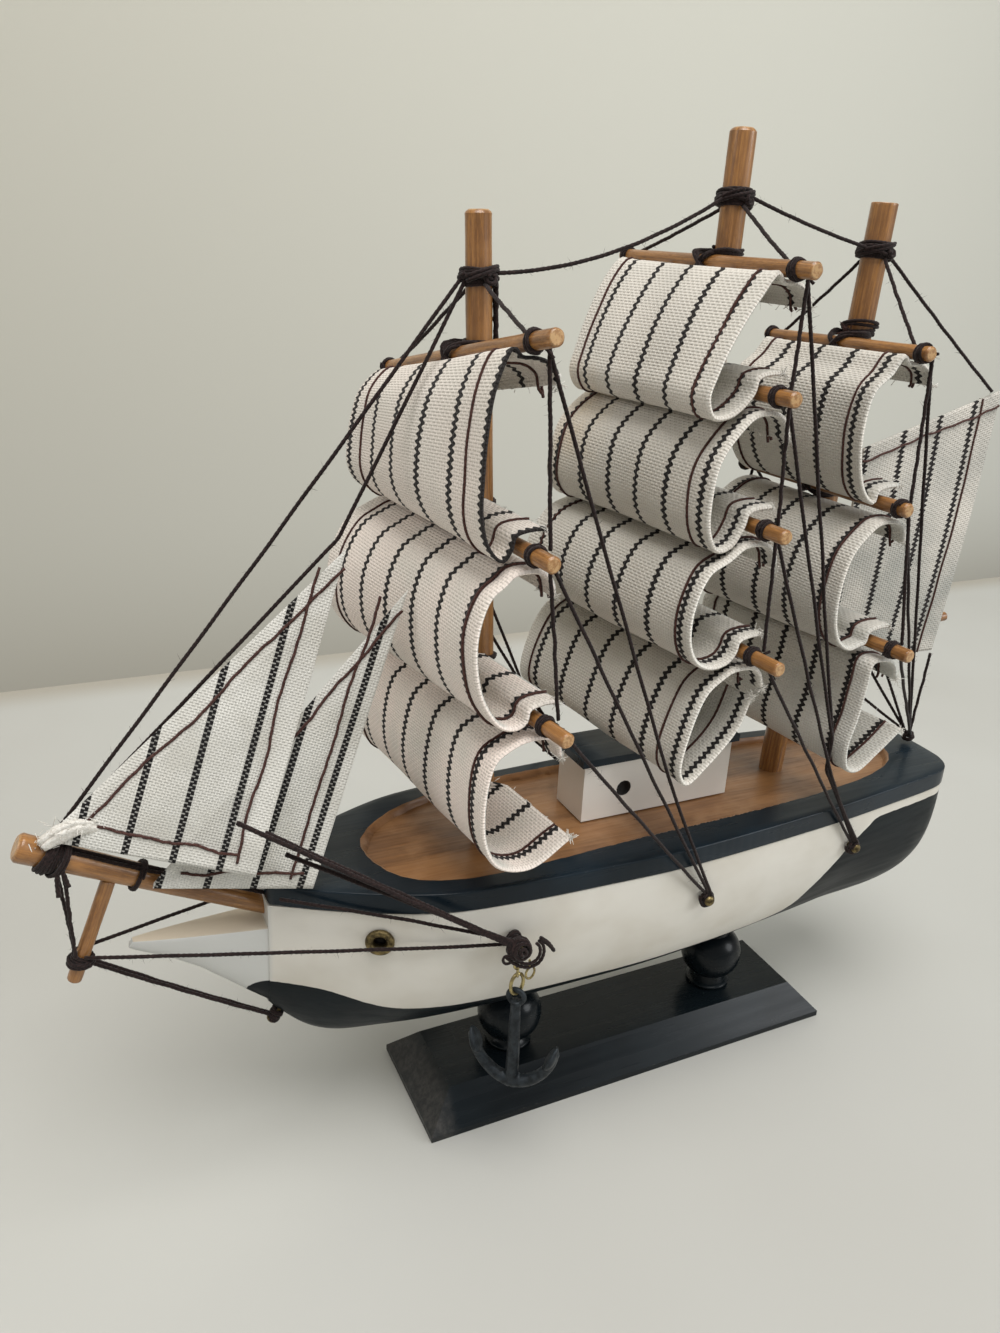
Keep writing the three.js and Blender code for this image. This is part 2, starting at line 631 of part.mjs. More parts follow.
const OUTER_JIB = [[-135.2, -1.5, 94.4], [-97.8, -13, 84.4], [-74.5, -0.9, 145.5]];
const INNER_JIB = [[-117.3, -4, 79], [-86, -12, 76.4], [-63.6, -6.5, 137.8]];
const SPANKER = [[55.2, 0, 104.6], [95.3, 0, 103.8], [100.4, 0, 174.6], [56.6, 0, 161]];

// ---------------------------------------------------------------- anchors on their chains
function linkSolid(radius, z, turn) {
  const ring = new THREE.TorusGeometry(radius, LINK.wire, 4, 8);
  ring.rotateX(Math.PI / 2);
  ring.rotateZ(turn);
  return toSolid(ring.translate(0, 0, z));
}

// heights down the chain, from the nail's axis
function chainHeights() {
  const top = NAIL.radius + GAP + LINK.wire - LINK.topRing;
  const heights = [top];
  let bottom = top - LINK.topRing;
  for (let i = 0; i < LINK.count; i += 1) {
    heights.push(bottom + LINK.bite - LINK.ring);
    bottom = heights[i + 1] - LINK.ring;
  }
  return { heights, bottom };
}

function chainSolid() {
  const { heights } = chainHeights();
  return join(heights.map((z, i) => linkSolid(i ? LINK.ring : LINK.topRing, z, (i % 2) * (Math.PI / 2))));
}

// one half of the anchor's flat outline, from the crown up one arm and up the shank
const ANCHOR_SIDE = [
  [0, -25.4], [3.4, -24.4], [7, -21.6], [9.3, -17.4], [11, -17.8], [9.2, -11.8], [5.6, -16.4],
  [7.1, -16.8], [5.4, -19.4], [2.8, -21.4], [1.2, -21.8], [0.9, -2.2],
];

function anchorSolid(sign) {
  const turn = sign * THREE.MathUtils.degToRad(ANCHOR.turn);
  const left = ANCHOR_SIDE.slice(1).map(([x, z]) => [-x, z]).reverse();
  const shape = new THREE.Shape([...ANCHOR_SIDE, ...left].map(([x, z]) => new THREE.Vector2(x, z)));
  const flat = new THREE.ExtrudeGeometry(shape, { depth: ANCHOR.thick, bevelEnabled: false });
  flat.translate(0, 0, -ANCHOR.thick / 2).rotateX(Math.PI / 2).rotateZ(turn);
  const eye = new THREE.TorusGeometry(ANCHOR.eye, ANCHOR.eyeWire, 6, 12).rotateX(Math.PI / 2);
  const rise = LINK.wire + GAP + ANCHOR.eyeWire - ANCHOR.eye;
  return toSolid(flat).add(toSolid(eye.translate(0, 0, rise)));
}

const CHAIN_STANDOFF = 4.4; // from the hull's side to the plane of chain and anchor

function buildGroundTackle() {
  for (const [side, sign] of Object.entries(SIDES)) {
    const y = sign * (halfBreadth(FORE_NAIL.x, FORE_NAIL.z) + CHAIN_STANDOFF);
    const group = new THREE.Group();
    group.position.set(FORE_NAIL.x, y, FORE_NAIL.z);
    ship.add(group);
    const chain = addMesh("anchor_chain_" + side, toGeometry(chainSolid()), "brass");
    const anchor = addMesh("anchor_" + side, toGeometry(anchorSolid(sign)), "darkMetal");
    anchor.position.z = chainHeights().bottom;
    group.add(chain, anchor);
  }
}

// ---------------------------------------------------------------- rigging
function rope(a, b) {
  return toSolid(rod(a, b, ROPE_RADIUS, ROPE_RADIUS, ROPE_SIDES));
}

// straight runs from point to point
function ropeThrough(points) {
  return points.slice(1).map((p, i) => rope(points[i], p));
}

// a rope that sags a little between two points
function slackRope(a, b, sag) {
  const middle = a.clone().add(b).multiplyScalar(0.5);
  middle.z -= 2 * sag;
  const curve = new THREE.QuadraticBezierCurve3(a, middle, b);
  return ropeThrough(curve.getPoints(6));
}

function mastHead(name, z) {
  const at = mastPoint(name, z);
  const radius = MASTS[name].radius;
  return collar(at, mastPoint(name, z + 1), radius + GAP, radius + 1.5, 4);
}

// the place of the lashing near one end of a yard, outside the sail's edge
function tieReach(yardName, sign) {
  const tied = Object.values(SAILS).filter((sail) => sail.head === yardName || sail.foot === yardName);
  const edge = Math.max(...tied.map((sail) => (sign < 0 ? sail.port : sail.starboard)));
  return sign * (edge + TIE_SPACE);
}

function yardTie(yardName, sign) {
  const reach = tieReach(yardName, sign);
  return collar(yardPoint(yardName, reach), yardPoint(yardName, reach + 1), 1.85 + GAP, 2.9, 1.2, 6);
}

// a point on the lashing, aft of the yard where the ropes leave it
function tiePoint(yardName, sign) {
  const point = yardPoint(yardName, tieReach(yardName, sign));
  point.x += 2.5;
  return point;
}

function nailTie(place, side) {
  const [root, tip] = nailEnds()["nail_" + place + "_" + side];
  const out = tip.clone().sub(root).normalize();
  const at = root.clone().addScaledVector(out, NAIL_TIE_OUT);
  return collar(at, at.clone().add(out), NAIL.radius + GAP, 2.2, 1.4, 6);
}

// the point where ropes reach the winding on a nail
function nailPoint(place, side) {
  const [root, tip] = nailEnds()["nail_" + place + "_" + side];
  const out = tip.clone().sub(root).normalize();
  const point = root.clone().addScaledVector(out, NAIL_TIE_OUT);
  point.z += 1.6;
  return point;
}

// where the long ropes bear on the bellies of the sails behind them: x, distance out and height
const BEARINGS = {
  port: {
    fore_1: [[-11, 27.9, 97]],
    main_1: [[37.4, 25.6, 97], [38, 25.2, 88.4]],
    main_2: [[37.2, 25.8, 97], [37.8, 25.3, 88.4]],
    main_3: [[37.4, 25.8, 90.5]],
  },
  starboard: {
    fore_1: [[-18, 30.5, 97]],
    fore_2: [[-18.4, 31, 97]],
    main_1: [[32.6, 26.2, 97], [34.2, 25.4, 88]],
    main_2: [[32.2, 26.4, 97], [34, 25.6, 88]],
    main_3: [[31.8, 26.8, 97], [33.8, 25.8, 88]],
  },
};

// ropes down from each yard of a mast to one nail, with the short ropes between the yards
function sideNet(name, yards, place, side) {
  const sign = SIDES[side];
  const nail = nailPoint(place, side);
  const parts = [nailTie(place, side)];
  yards.forEach((yardName, i) => {
    parts.push(yardTie(yardName, sign));
    const bearings = BEARINGS[side][yardName] ?? [];
    const middle = bearings.map(([x, out, z]) => new THREE.Vector3(x, sign * out, z));
    parts.push(...ropeThrough([tiePoint(yardName, sign), ...middle, nail]));
    if (i) parts.push(rope(tiePoint(yards[i - 1], sign), tiePoint(yardName, sign)));
  });
  addMesh(name, toGeometry(join(parts)), "thread");
}

function sternNet() {
  const tie = vector(STERN_TIE);
  const yards = ["mizzen_1", "mizzen_2", "mizzen_3"];
  const parts = [collar(tie, tie.clone().add(new THREE.Vector3(0, 0, 1)), 0.4, 2, 1.6, 8)];
  for (const sign of Object.values(SIDES)) {
    yards.forEach((yardName, i) => {
      parts.push(yardTie(yardName, sign), rope(tiePoint(yardName, sign), tie));
      if (i) parts.push(rope(tiePoint(yards[i - 1], sign), tiePoint(yardName, sign)));
    });
  }
  parts.push(rope(tie, new THREE.Vector3(94.6, 0, 102.6)));
  addMesh("rigging_stern", toGeometry(join(parts)), "thread");
}

const MAST_HEADS = { fore: 196.5, main: 213.5, mizzen: 205.5 };

function mastHeadNet() {
  const parts = Object.entries(MAST_HEADS).map(([name, z]) => mastHead(name, z));
  const at = (name, dx) => mastPoint(name, MAST_HEADS[name]).add(new THREE.Vector3(dx, 0, 0));
  parts.push(...slackRope(at("fore", 3.6), at("main", -3.6), 3));
  parts.push(...slackRope(at("main", 3.6), at("mizzen", -3.6), 2));
  for (const [mast, yard] of [["fore", "fore_1"], ["main", "main_1"], ["mizzen", "mizzen_1"]]) {
    for (const sign of Object.values(SIDES)) {
      const from = at(mast, 0).add(new THREE.Vector3(0, sign * 3.6, -1.6));
      const to = yardPoint(yard, tieReach(yard, sign) - sign * 1.2).add(new THREE.Vector3(0, 0, 2.8));
      parts.push(rope(from, to));
    }
  }
  const peak = new THREE.Vector3(96.4, 0, 174.6);
  parts.push(rope(at("mizzen", 3.6), peak));
  addMesh("rigging_mast_heads", toGeometry(join(parts)), "thread");
}

// pushes a point out so that a rope through it clears the hull and the rail board
function clearOfHull(point) {
  const clear = ROPE_RADIUS + GAP + (Math.abs(point.x - EYELET.x) < 6 ? 1.2 : 0.2);
  if (point.x < BOW_X || point.z > RAIL_TOP + clear) return point;
  const side = Math.sign(point.y);
  const breadth = point.z < HULL_TOP - clear ? halfBreadth(point.x, point.z) : breadthAt(point.x) + 0.25;
  point.y = side * Math.max(Math.abs(point.y), breadth + clear);
  return point;
}

// a rope that bears on the hull's side where a straight one would cut it
function ropeRoundHull(from, to) {
  const steps = 8;
  const points = [from];
  for (let i = 1; i < steps; i += 1) {
    const straight = from.clone().lerp(to, i / steps);
    const clear = clearOfHull(straight.clone());
    if (!clear.equals(straight)) points.push(clear);
  }
  return ropeThrough([...points, to]);
}

// a point on a collar round `at`, on the side that `up` leans to
function onCollar(at, along, up, radius) {
  const axis = along.clone().sub(at).normalize();
  const out = up.clone().addScaledVector(axis, -up.dot(axis)).normalize();
  return at.clone().addScaledVector(out, radius);
}

function bowNet() {
  const alongSprit = (t) => vector(SPRIT.base).lerp(vector(SPRIT.tip), t);
  const alongStriker = (t) => vector(STRIKER.top).lerp(vector(STRIKER.foot), t);
  const up = new THREE.Vector3(0, 0, 1);
  const down = new THREE.Vector3(0, 0, -1);
  const [tipTie, tip] = [alongSprit(0.92), alongSprit(1)];
  const [lowTie, foot] = [alongStriker(0.9), alongStriker(1)];
  const tipRadius = SPRIT.tipRadius + GAP;
  const lowRadius = STRIKER.radius + GAP;
  const parts = [
    collar(tipTie, tip, tipRadius, tipRadius + 1.1, 2.4, 8),
    collar(lowTie, foot, lowRadius, lowRadius + 1.1, 2.6, 8),
  ];
  const tipTop = onCollar(tipTie, tip, up, tipRadius + 0.6);
  const jibHead = new THREE.Vector3(-76.4, 0.2, 147.2);
  const mastHeadFront = new THREE.Vector3(-51.6, 0, 194);
  parts.push(rope(mastHeadFront, tipTop));
  parts.push(...ropeThrough([mastHeadFront, jibHead, tipTop]));
  const lowFront = onCollar(lowTie, foot, new THREE.Vector3(-1, 0, 0), lowRadius + 0.6);
  parts.push(rope(onCollar(tipTie, tip, down, tipRadius + 0.6), lowFront));
  const lowBack = onCollar(lowTie, foot, new THREE.Vector3(1, 0, 0), lowRadius + 0.6);
  parts.push(rope(lowBack, new THREE.Vector3(-94.6, 0, 37.2)));
  for (const [side, sign] of Object.entries(SIDES)) {
    const nail = nailPoint("fore", side).add(new THREE.Vector3(-1.6, 0, -1.6));
    const start = onCollar(lowTie, foot, new THREE.Vector3(0, sign, 0), lowRadius + 0.6);
    parts.push(nailTie("fore", side), ...ropeRoundHull(start, nail));
  }
  const sheetFoot = nailPoint("fore", "port");
  parts.push(...ropeRoundHull(sheetFoot, new THREE.Vector3(-99, -14.8, 88)));
  parts.push(...ropeRoundHull(sheetFoot, new THREE.Vector3(-85.4, -13.4, 77.2)));
  const footThread = [new THREE.Vector3(-66.2, -21.4, 69.2), new THREE.Vector3(-92.6, -9.6, 73.8)];
  parts.push(...ropeThrough([sheetFoot, ...footThread]));
  addMesh("rigging_bow", toGeometry(join(parts)), "thread");
}

function buildRigging() {
  mastHeadNet();
  bowNet();
  for (const side of Object.keys(SIDES)) {
    sideNet("rigging_fore_" + side, ["fore_1", "fore_2", "fore_3"], "mid", side);
    sideNet("rigging_main_" + side, ["main_1", "main_2", "main_3", "main_4"], "aft", side);
  }
  sternNet();
}

buildStand();
buildHull();
buildHeadGear();
buildNails();
buildEyelets();
buildDeckhouse();
buildSpars();
buildSquareSails();
flatSail("jib_outer", OUTER_JIB);
flatSail("jib_inner", INNER_JIB);
flatSail("spanker", SPANKER);
buildGroundTackle();
buildRigging();

export default ship;
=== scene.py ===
"""A three-masted model sailing ship on its display stand, with striped cloth sails and thread rigging.

All sizes here are in millimetres unless a name says otherwise. +X points to the stern, +Y to starboard.
"""

import math
import random

import bpy
import numpy as np
from mathutils import Matrix, Vector


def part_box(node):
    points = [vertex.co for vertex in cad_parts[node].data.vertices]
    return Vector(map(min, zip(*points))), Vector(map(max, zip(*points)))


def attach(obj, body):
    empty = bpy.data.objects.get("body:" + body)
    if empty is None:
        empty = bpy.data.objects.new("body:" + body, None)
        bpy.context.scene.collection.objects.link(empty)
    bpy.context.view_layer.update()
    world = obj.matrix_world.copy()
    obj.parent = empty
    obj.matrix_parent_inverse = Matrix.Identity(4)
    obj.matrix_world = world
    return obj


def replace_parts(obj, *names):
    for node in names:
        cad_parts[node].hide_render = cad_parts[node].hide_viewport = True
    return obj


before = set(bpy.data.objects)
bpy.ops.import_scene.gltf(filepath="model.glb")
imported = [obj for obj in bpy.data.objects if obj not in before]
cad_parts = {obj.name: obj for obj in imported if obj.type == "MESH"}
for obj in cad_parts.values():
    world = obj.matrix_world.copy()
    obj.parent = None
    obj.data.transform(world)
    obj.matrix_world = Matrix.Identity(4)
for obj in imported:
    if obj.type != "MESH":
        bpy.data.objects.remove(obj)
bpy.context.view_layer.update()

MM = 0.001
SIDES = {"port": -1, "starboard": 1}

# ---------------------------------------------------------------- sizes shared with the CAD part
HULL_TOP = 70
RAIL_TOP = 75
DECK_TOP = 73.2
BOW_X = -94.3
STERN_X = 95.6
MAST_DATUM = 77.6
YARD_STEP = 4.9  # a yard's axis lies this far in front of its mast's axis
YARD_RADII = (1.58, 1.35)
TIE_SPACE = 1.7  # from a sail's side edge to the lashing beside it
POST_X = 32
BASE_TOP = 9.2

MASTS = {
    "fore": {"x": -42.2, "y": 0, "rake": -2.66, "lean": 0, "top": 208, "radius": 2.6},
    "main": {"x": 7.1, "y": 0, "rake": 0.96, "lean": 0, "top": 226.5, "radius": 2.7},
    "mizzen": {"x": 47, "y": 3.8, "rake": 1.2, "lean": 1.75, "top": 215.3, "radius": 2.9},
}
MAST_HEADS = {"fore": 196.5, "main": 213.5, "mizzen": 205.5}

# yard: mast, height, half length, tilt (lifts the port end), brace (turns the port end forward)
YARDS = {
    "fore_1": ("fore", 182.1, 40.2, 8.7, -1),
    "fore_2": ("fore", 150.8, 40.3, 0, -1.6),
    "fore_3": ("fore", 116.7, 41.6, 0.3, -6),
    "main_1": ("main", 201.2, 34.1, -2, 0.3),
    "main_2": ("main", 177.5, 36.2, 0, 3),
    "main_3": ("main", 151.6, 38.1, 0, 0.8),
    "main_4": ("main", 124.4, 40.2, 0, -2.3),
    "mizzen_1": ("mizzen", 185.6, 27, -0.6, 0.5),
    "mizzen_2": ("mizzen", 153, 30.4, 0, 1.9),
    "mizzen_3": ("mizzen", 120.6, 35.8, 0, -4.9),
}

# head and foot yards (or the free drop), half widths, belly factor to starboard, the side profile
# below the head yard, then the first stripe and the two seams, measured in from the side edges,
# whether the sides are hemmed, and the stripes' own pitch where it differs
SAILS = {
    "fore_top": {
        "head": "fore_1", "foot": "fore_2", "port": 31, "starboard": 36, "full": 1.3,
        "body": [(-6.2, 0.2), (-8, 0.42), (-8.8, 0.62), (-9, 0.82), (-7.6, 0.97), (-4.8, 1.045)],
        "stripe": 0.35, "seams": (7, 8), "hem": False, "pitch": 13,
    },
    "fore_middle": {
        "head": "fore_2", "foot": "fore_3", "port": 32, "starboard": 37, "full": 1.3,
        "body": [(-5.4, 0.165), (-8.4, 0.235), (-11.4, 0.45), (-11.9, 0.73), (-10.6, 0.89), (-8, 1),
                 (-5, 1.02)],
        "stripe": 5.2, "seams": (4, 6), "hem": True,
    },
    "fore_lower": {
        "head": "fore_3", "depth": 33, "port": 32, "starboard": 36, "full": 0.8,
        "body": [(-5.4, 0.15), (-8.6, 0.22), (-11, 0.48), (-10.6, 0.78), (-7.1, 0.95), (0.2, 1),
                 (9, 0.84)],
        "stripe": 5, "seams": (5.8, 5), "hem": True,
    },
    "main_top": {
        "head": "main_1", "foot": "main_2", "port": 27, "starboard": 30, "full": 1.2,
        "body": [(-5.9, 0.22), (-9.4, 0.52), (-12, 0.84), (-13, 1.04), (-11.2, 1.19), (-7.6, 1.18),
                 (-4.6, 1.08)],
        "stripe": 5.6, "seams": (5.4, 4.6), "hem": True,
    },
    "main_upper": {
        "head": "main_2", "foot": "main_3", "port": 29, "starboard": 33, "full": 1.4,
        "body": [(-6.9, 0.27), (-11, 0.49), (-12.2, 0.8), (-11.5, 1.03), (-9, 1.17), (-5.6, 1.14)],
        "stripe": 3, "seams": (6.4, 5), "hem": True,
    },
    "main_middle": {
        "head": "main_3", "foot": "main_4", "port": 30, "starboard": 34, "full": 1.3,
        "body": [(-6.6, 0.23), (-11.4, 0.33), (-14.6, 0.6), (-14.7, 0.87), (-12.7, 1.02),
                 (-9.2, 1.085), (-5, 1.06)],
        "stripe": 3.4, "seams": (4.6, 6), "hem": True,
    },
    "main_lower": {
        "head": "main_4", "depth": 29.3, "port": 30, "starboard": 35, "full": 1.3,
        "body": [(-5, 0.17), (-9, 0.28), (-12.5, 0.6), (-13.4, 0.9), (-11.3, 1), (-6.9, 0.89),
                 (0.4, 0.61), (3, 0.36)],
        "stripe": 2.6, "seams": (7.6, 5), "hem": True,
    },
    "mizzen_top": {
        "head": "mizzen_1", "foot": "mizzen_2", "port": 23, "starboard": 23.5, "full": 1.1,
        "body": [(-5.4, 0.14), (-9.2, 0.25), (-10.6, 0.5), (-9.5, 0.73), (-7.2, 0.89), (-4.7, 0.97)],
        "stripe": 3.6, "seams": (5.6, 4), "hem": True,
    },
    "mizzen_middle": {
        "head": "mizzen_2", "foot": "mizzen_3", "port": 26, "starboard": 27, "full": 1,
        "body": [(-6, 0.18), (-10.6, 0.34), (-13.2, 0.62), (-13, 0.83), (-11, 0.96), (-7.5, 1.02),
                 (-4.6, 1)],
        "stripe": 5.4, "seams": (4.4, 5), "hem": True,
    },
    "mizzen_lower": {
        "head": "mizzen_3", "depth": 31.9, "port": 29, "starboard": 30, "full": 1,
        "body": [(-3.4, 0.3), (-4.4, 0.55), (-6, 0.79), (-4.8, 0.96), (-1.5, 1), (4.1, 0.88),
                 (10.7, 0.71)],
        "stripe": 5.8, "seams": (4.6, 5), "hem": True,
    },
}
SAIL_HEAD = [(5.4, -8.6), (4.6, -5.6), (2.4, -3.8), (-2.6, -3.8)]
TOP_SAIL_HEAD = [(6.0, -6.8), (5.4, -4.6), (3.4, -3.0), (1.3, -2.45), (-1.2, -2.3), (-2.75, -0.9)]
SAIL_TAIL = [(-3.1, 0.4), (-2.4, 2.9), (0.4, 3.8), (3.4, 3.9)]
STRIPE_PITCH, GAUZE_STRIPE_PITCH = 11.0, 9.1
SAIL_ROWS = 84  # points down a square sail
JIB_HEM = 4.6
SPANKER_WIDTH, SPANKER_HEIGHT = 42.6, 71
CLOTH, GAUZE, HEM = 0.62, 0.28, 1.1  # thicknesses

BREADTH = [
    (BOW_X, 5.6), (-91, 7.4), (-84, 11.5), (-74, 16.6), (-60, 22), (-45, 24.1), (-24, 25.3), (0, 25.8),
    (45, 22.8), (70, 19.8), (87, 17.3), (91.5, 15.6), (94.2, 12.8), (STERN_X, 9.5),
]
KEEL = [
    (BOW_X, 41), (-92.6, 38.8), (-87, 33.2), (-82, 30.4), (-76, 29.4), (-12, 29), (18, 30), (44, 32),
    (67, 34.3), (82, 37.6), (89, 41.5), (93, 47), (STERN_X, 55),
]
# the dark paint reaches up to this height along the hull
PAINT_LINE = [
    (-99.6, 45.4), (-98.8, 48), (-96.6, 49.1), (BOW_X, 49.2), (-88, 48.8), (-84.5, 48.3), (-79.5, 46.4),
    (-74, 43.7), (-68, 41.6), (-60, 40.6),
    (-44, 39.4), (0, 38.4), (28, 38.4), (37, 39.8), (42, 43.4), (44.4, 47.6), (47.7, 52.2), (51.3, 56.7),
    (55.3, 61.1), (61, 65.4), (64.3, 67.3), (70, 67.5), (STERN_X, 67.5),
]
WELL = [
    (-71, 0), (-66.7, -12), (-57.3, -17.3), (-46.8, -18.8), (-8.9, -17.2), (30.5, -16.1), (50.7, -14.6),
    (70.2, -11), (80.5, -5.5), (84.3, 2), (79, 10.5), (68, 15.4), (45, 19.2), (20, 21.4), (-13, 22.2),
    (-35, 21.2), (-52.3, 18), (-63.1, 12.7), (-69, 6.6),
]
SPRIT_BASE, SPRIT_TIP = np.array([-92.5, 0, 66]), np.array([-140.3, 0, 91.5])
SPRIT_RADII = (2, 2.9)
STRIKER_TOP, STRIKER_FOOT = np.array([-125, 0, 79.2]), np.array([-133.4, 0, 58])
STRIKER_RADIUS = 1.5
BOOM_FOOT, BOOM_END = np.array([51.6, 4.2, 108]), np.array([100.7, 2.4, 112.4])
NAILS = {"fore": (-45.2, 61.5, 5.8), "mid": (5.6, 60.2, 3.2), "aft": (54.4, 61.8, 3.2)}
NAIL_RADIUS, NAIL_HEAD = 0.8, 1.35
NAIL_TIE_OUT = 1.7
BOBSTAY_NAIL = (np.array([-91.4, 0, 38.2]), np.array([-93.9, 0, 34.8]))
EYELET = (-73, 63)
CHAIN_OUT = 4.4
ANCHOR_EYE = 48.87  # height of the swivel that the anchor hangs by
ANCHOR_TURN = 42  # degrees about the vertical, its aft arm pointing outwards
TIP_TIE, INNER_TIE, STRIKER_TIE = 0.865, 0.555, 0.77  # lashings, as shares of the bowsprit and the striker
STERN_TIE = np.array([93.4, 0, 76.4])
# tack, clew and head; the first stripe; then each seam's corners, inset and distance from them
JIBS = {
    "jib_outer": {
        "corners": [(-135.2, -1.5, 92.6), (-97.8, -13, 82.6), (-74.5, -0.9, 145.5)], "stripe": 7.3,
        "seams": [((0, 2), 2.8, (7, 3)), ((0, 1), 4.2, (9, 4)), ((1, 2), 4.4, (2, 5))],
    },
    "jib_inner": {
        "corners": [(-117.3, -4, 79), (-86, -12, 76.4), (-63.6, -6.5, 137.8)], "stripe": 2.7,
        "seams": [((0, 2), 1.8, (20, 4)), ((0, 1), 3.4, (6, 2)), ((1, 2), 5.0, (1, 3))],
    },
}
# tack, clew, peak and throat
SPANKER = [(55.2, 0, 104.6), (95.3, 0, 103.8), (100.4, 0, 174.6), (56.6, 0, 161)]


# ---------------------------------------------------------------- curves
def smooth_table(table):
    """A smooth curve through (x, y) pairs, as a function that takes arrays."""
    xs, ys = np.array(table, float).T
    last = len(xs) - 1
    low, high = np.maximum(np.arange(last + 1) - 1, 0), np.minimum(np.arange(last + 1) + 1, last)
    slopes = (ys[high] - ys[low]) / (xs[high] - xs[low])

    def curve(x):
        x = np.asarray(x, float)
        i = np.clip(np.searchsorted(xs, x, side="left") - 1, 0, last - 1)
        h = xs[i + 1] - xs[i]
        t = (x - xs[i]) / h
        value = (2 * t**3 - 3 * t**2 + 1) * ys[i] + (3 * t**2 - 2 * t**3) * ys[i + 1]
        return value + h * ((t**3 - 2 * t**2 + t) * slopes[i] + (t**3 - t**2) * slopes[i + 1])

    return curve


def run_along(line):
    """Each point's distance from the first one, measured along the line."""
    return np.concatenate([[0], np.cumsum(np.linalg.norm(np.diff(line, axis=0), axis=1))])


def spaced(line, step=None, count=None):
    """The line again, with evenly spaced points."""
    line = np.asarray(line, float)
    along = run_along(line)
    count = count or max(2, int(math.ceil(along[-1] / step)) + 1)
    at = np.linspace(0, along[-1], count)
    return np.stack([np.interp(at, along, line[:, k]) for k in range(3)], axis=1)


def spline(points, steps=12, closed=False):
    """A centripetal Catmull-Rom curve through the points."""
    p = np.asarray(points, float)
    if closed:
        p = np.vstack([p[-1], p, p[0], p[1]])
    else:
        p = np.vstack([2 * p[0] - p[1], p, 2 * p[-1] - p[-2]])
    out = []
    for a, b, c, d in zip(p[:-3], p[1:-2], p[2:-1], p[3:]):
        t1 = math.sqrt(np.linalg.norm(b - a) + 1e-9)
        t2 = t1 + math.sqrt(np.linalg.norm(c - b) + 1e-9)
        t3 = t2 + math.sqrt(np.linalg.norm(d - c) + 1e-9)
        t = np.linspace(t1, t2, steps, endpoint=False)[:, None]
        ab = (t1 - t) / t1 * a + t / t1 * b
        bc = (t2 - t) / (t2 - t1) * b + (t - t1) / (t2 - t1) * c
        cd = (t3 - t) / (t3 - t2) * c + (t - t2) / (t3 - t2) * d
        abc = (t2 - t) / t2 * ab + t / t2 * bc
        bcd = (t3 - t) / (t3 - t1) * bc + (t - t1) / (t3 - t1) * cd
        out.append((t2 - t) / (t2 - t1) * abc + (t - t1) / (t2 - t1) * bcd)
    if not closed:
        out.append(p[-2][None])
    return np.vstack(out)


def unit(v):
    """The vector at length 1."""
    return v / max(np.linalg.norm(v), 1e-12)


def frames_along(line):
    """Side and up directions along a line, turned as little as possible from point to point."""
    tangent = np.gradient(line, axis=0)
    tangent /= np.maximum(np.linalg.norm(tangent, axis=1), 1e-12)[:, None]
    side = np.cross(tangent[0], (0, 0, 1) if abs(tangent[0][2]) < 0.9 else (1, 0, 0))
    sides = []
    for t in tangent:
        side = unit(side - side.dot(t) * t)
        sides.append(side)
    sides = np.array(sides)
    return tangent, sides, np.cross(tangent, sides)


def wander(rng, count, waves, size):
    """A smooth random run of numbers about zero."""
    t = np.linspace(0, 1, count)
    total = np.zeros(count)
    for k in range(3):
        total += rng.uniform(0.4, 1) * np.sin(2 * math.pi * (waves * (k + 0.6) * t + rng.random()))
    return total * size / 2


# ---------------------------------------------------------------- meshes
def put_in_scene(name, data):
    """A new object that shows the mesh, lamp or camera."""
    made = bpy.data.objects.new(name, data)
    bpy.context.scene.collection.objects.link(made)
    return made


class Shape:
    """Points, faces and cloth or grain coordinates gathered for one mesh."""

    def __init__(self):
        self.points, self.faces, self.uv, self.count = [], [], [], 0

    def add(self, points, faces, uv=None):
        points = np.asarray(points, float).reshape(-1, 3)
        uv = np.zeros((len(points), 2)) if uv is None else np.asarray(uv, float).reshape(-1, 2)
        self.points.append(points)
        self.uv.append(uv)
        self.faces += [tuple(i + self.count for i in face) for face in faces]
        self.count += len(points)
        return self

    def build(self, name, finish, body="ship", sharp=None):
        mesh = bpy.data.meshes.new(name)
        mesh.from_pydata((np.vstack(self.points) * MM).tolist(), [], self.faces)
        mesh.update()
        layer = mesh.uv_layers.new(name="cloth")
        corner = np.zeros(len(mesh.loops), np.int32)
        mesh.loops.foreach_get("vertex_index", corner)
        layer.data.foreach_set("uv", np.vstack(self.uv)[corner].astype(np.float32).ravel())
        mesh.polygons.foreach_set("use_smooth", [True] * len(mesh.polygons))
        if sharp:
            mesh.set_sharp_from_angle(angle=math.radians(sharp))
        piece = put_in_scene(name, mesh)
        mesh.materials.append(FINISHES[finish])
        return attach(piece, body)


def ring_faces(rings, count, closed=True):
    """Quads between rings of `count` points each; closed says that the rings close round."""
    faces = []
    for r in range(rings - 1):
        for i in range(count if closed else count - 1):
            a, b = r * count + i, r * count + (i + 1) % count
            faces.append((a, b, b + count, a + count))
    return faces


def capped_faces(rings, count):
    """Quads between closed rings, and a face over each end."""
    last = (rings - 1) * count
    return ring_faces(rings, count) + [tuple(reversed(range(count))), tuple(range(last, last + count))]


def around_line(line, sides, size):
    """Points round a line; size is the distance from it, for each point and each side."""
    angle = np.arange(sides) * 2 * math.pi / sides
    _, side, up = frames_along(line)
    around = np.cos(angle)[None, :, None] * side[:, None] + np.sin(angle)[None, :, None] * up[:, None]
    return line[:, None] + around * size[:, :, None]


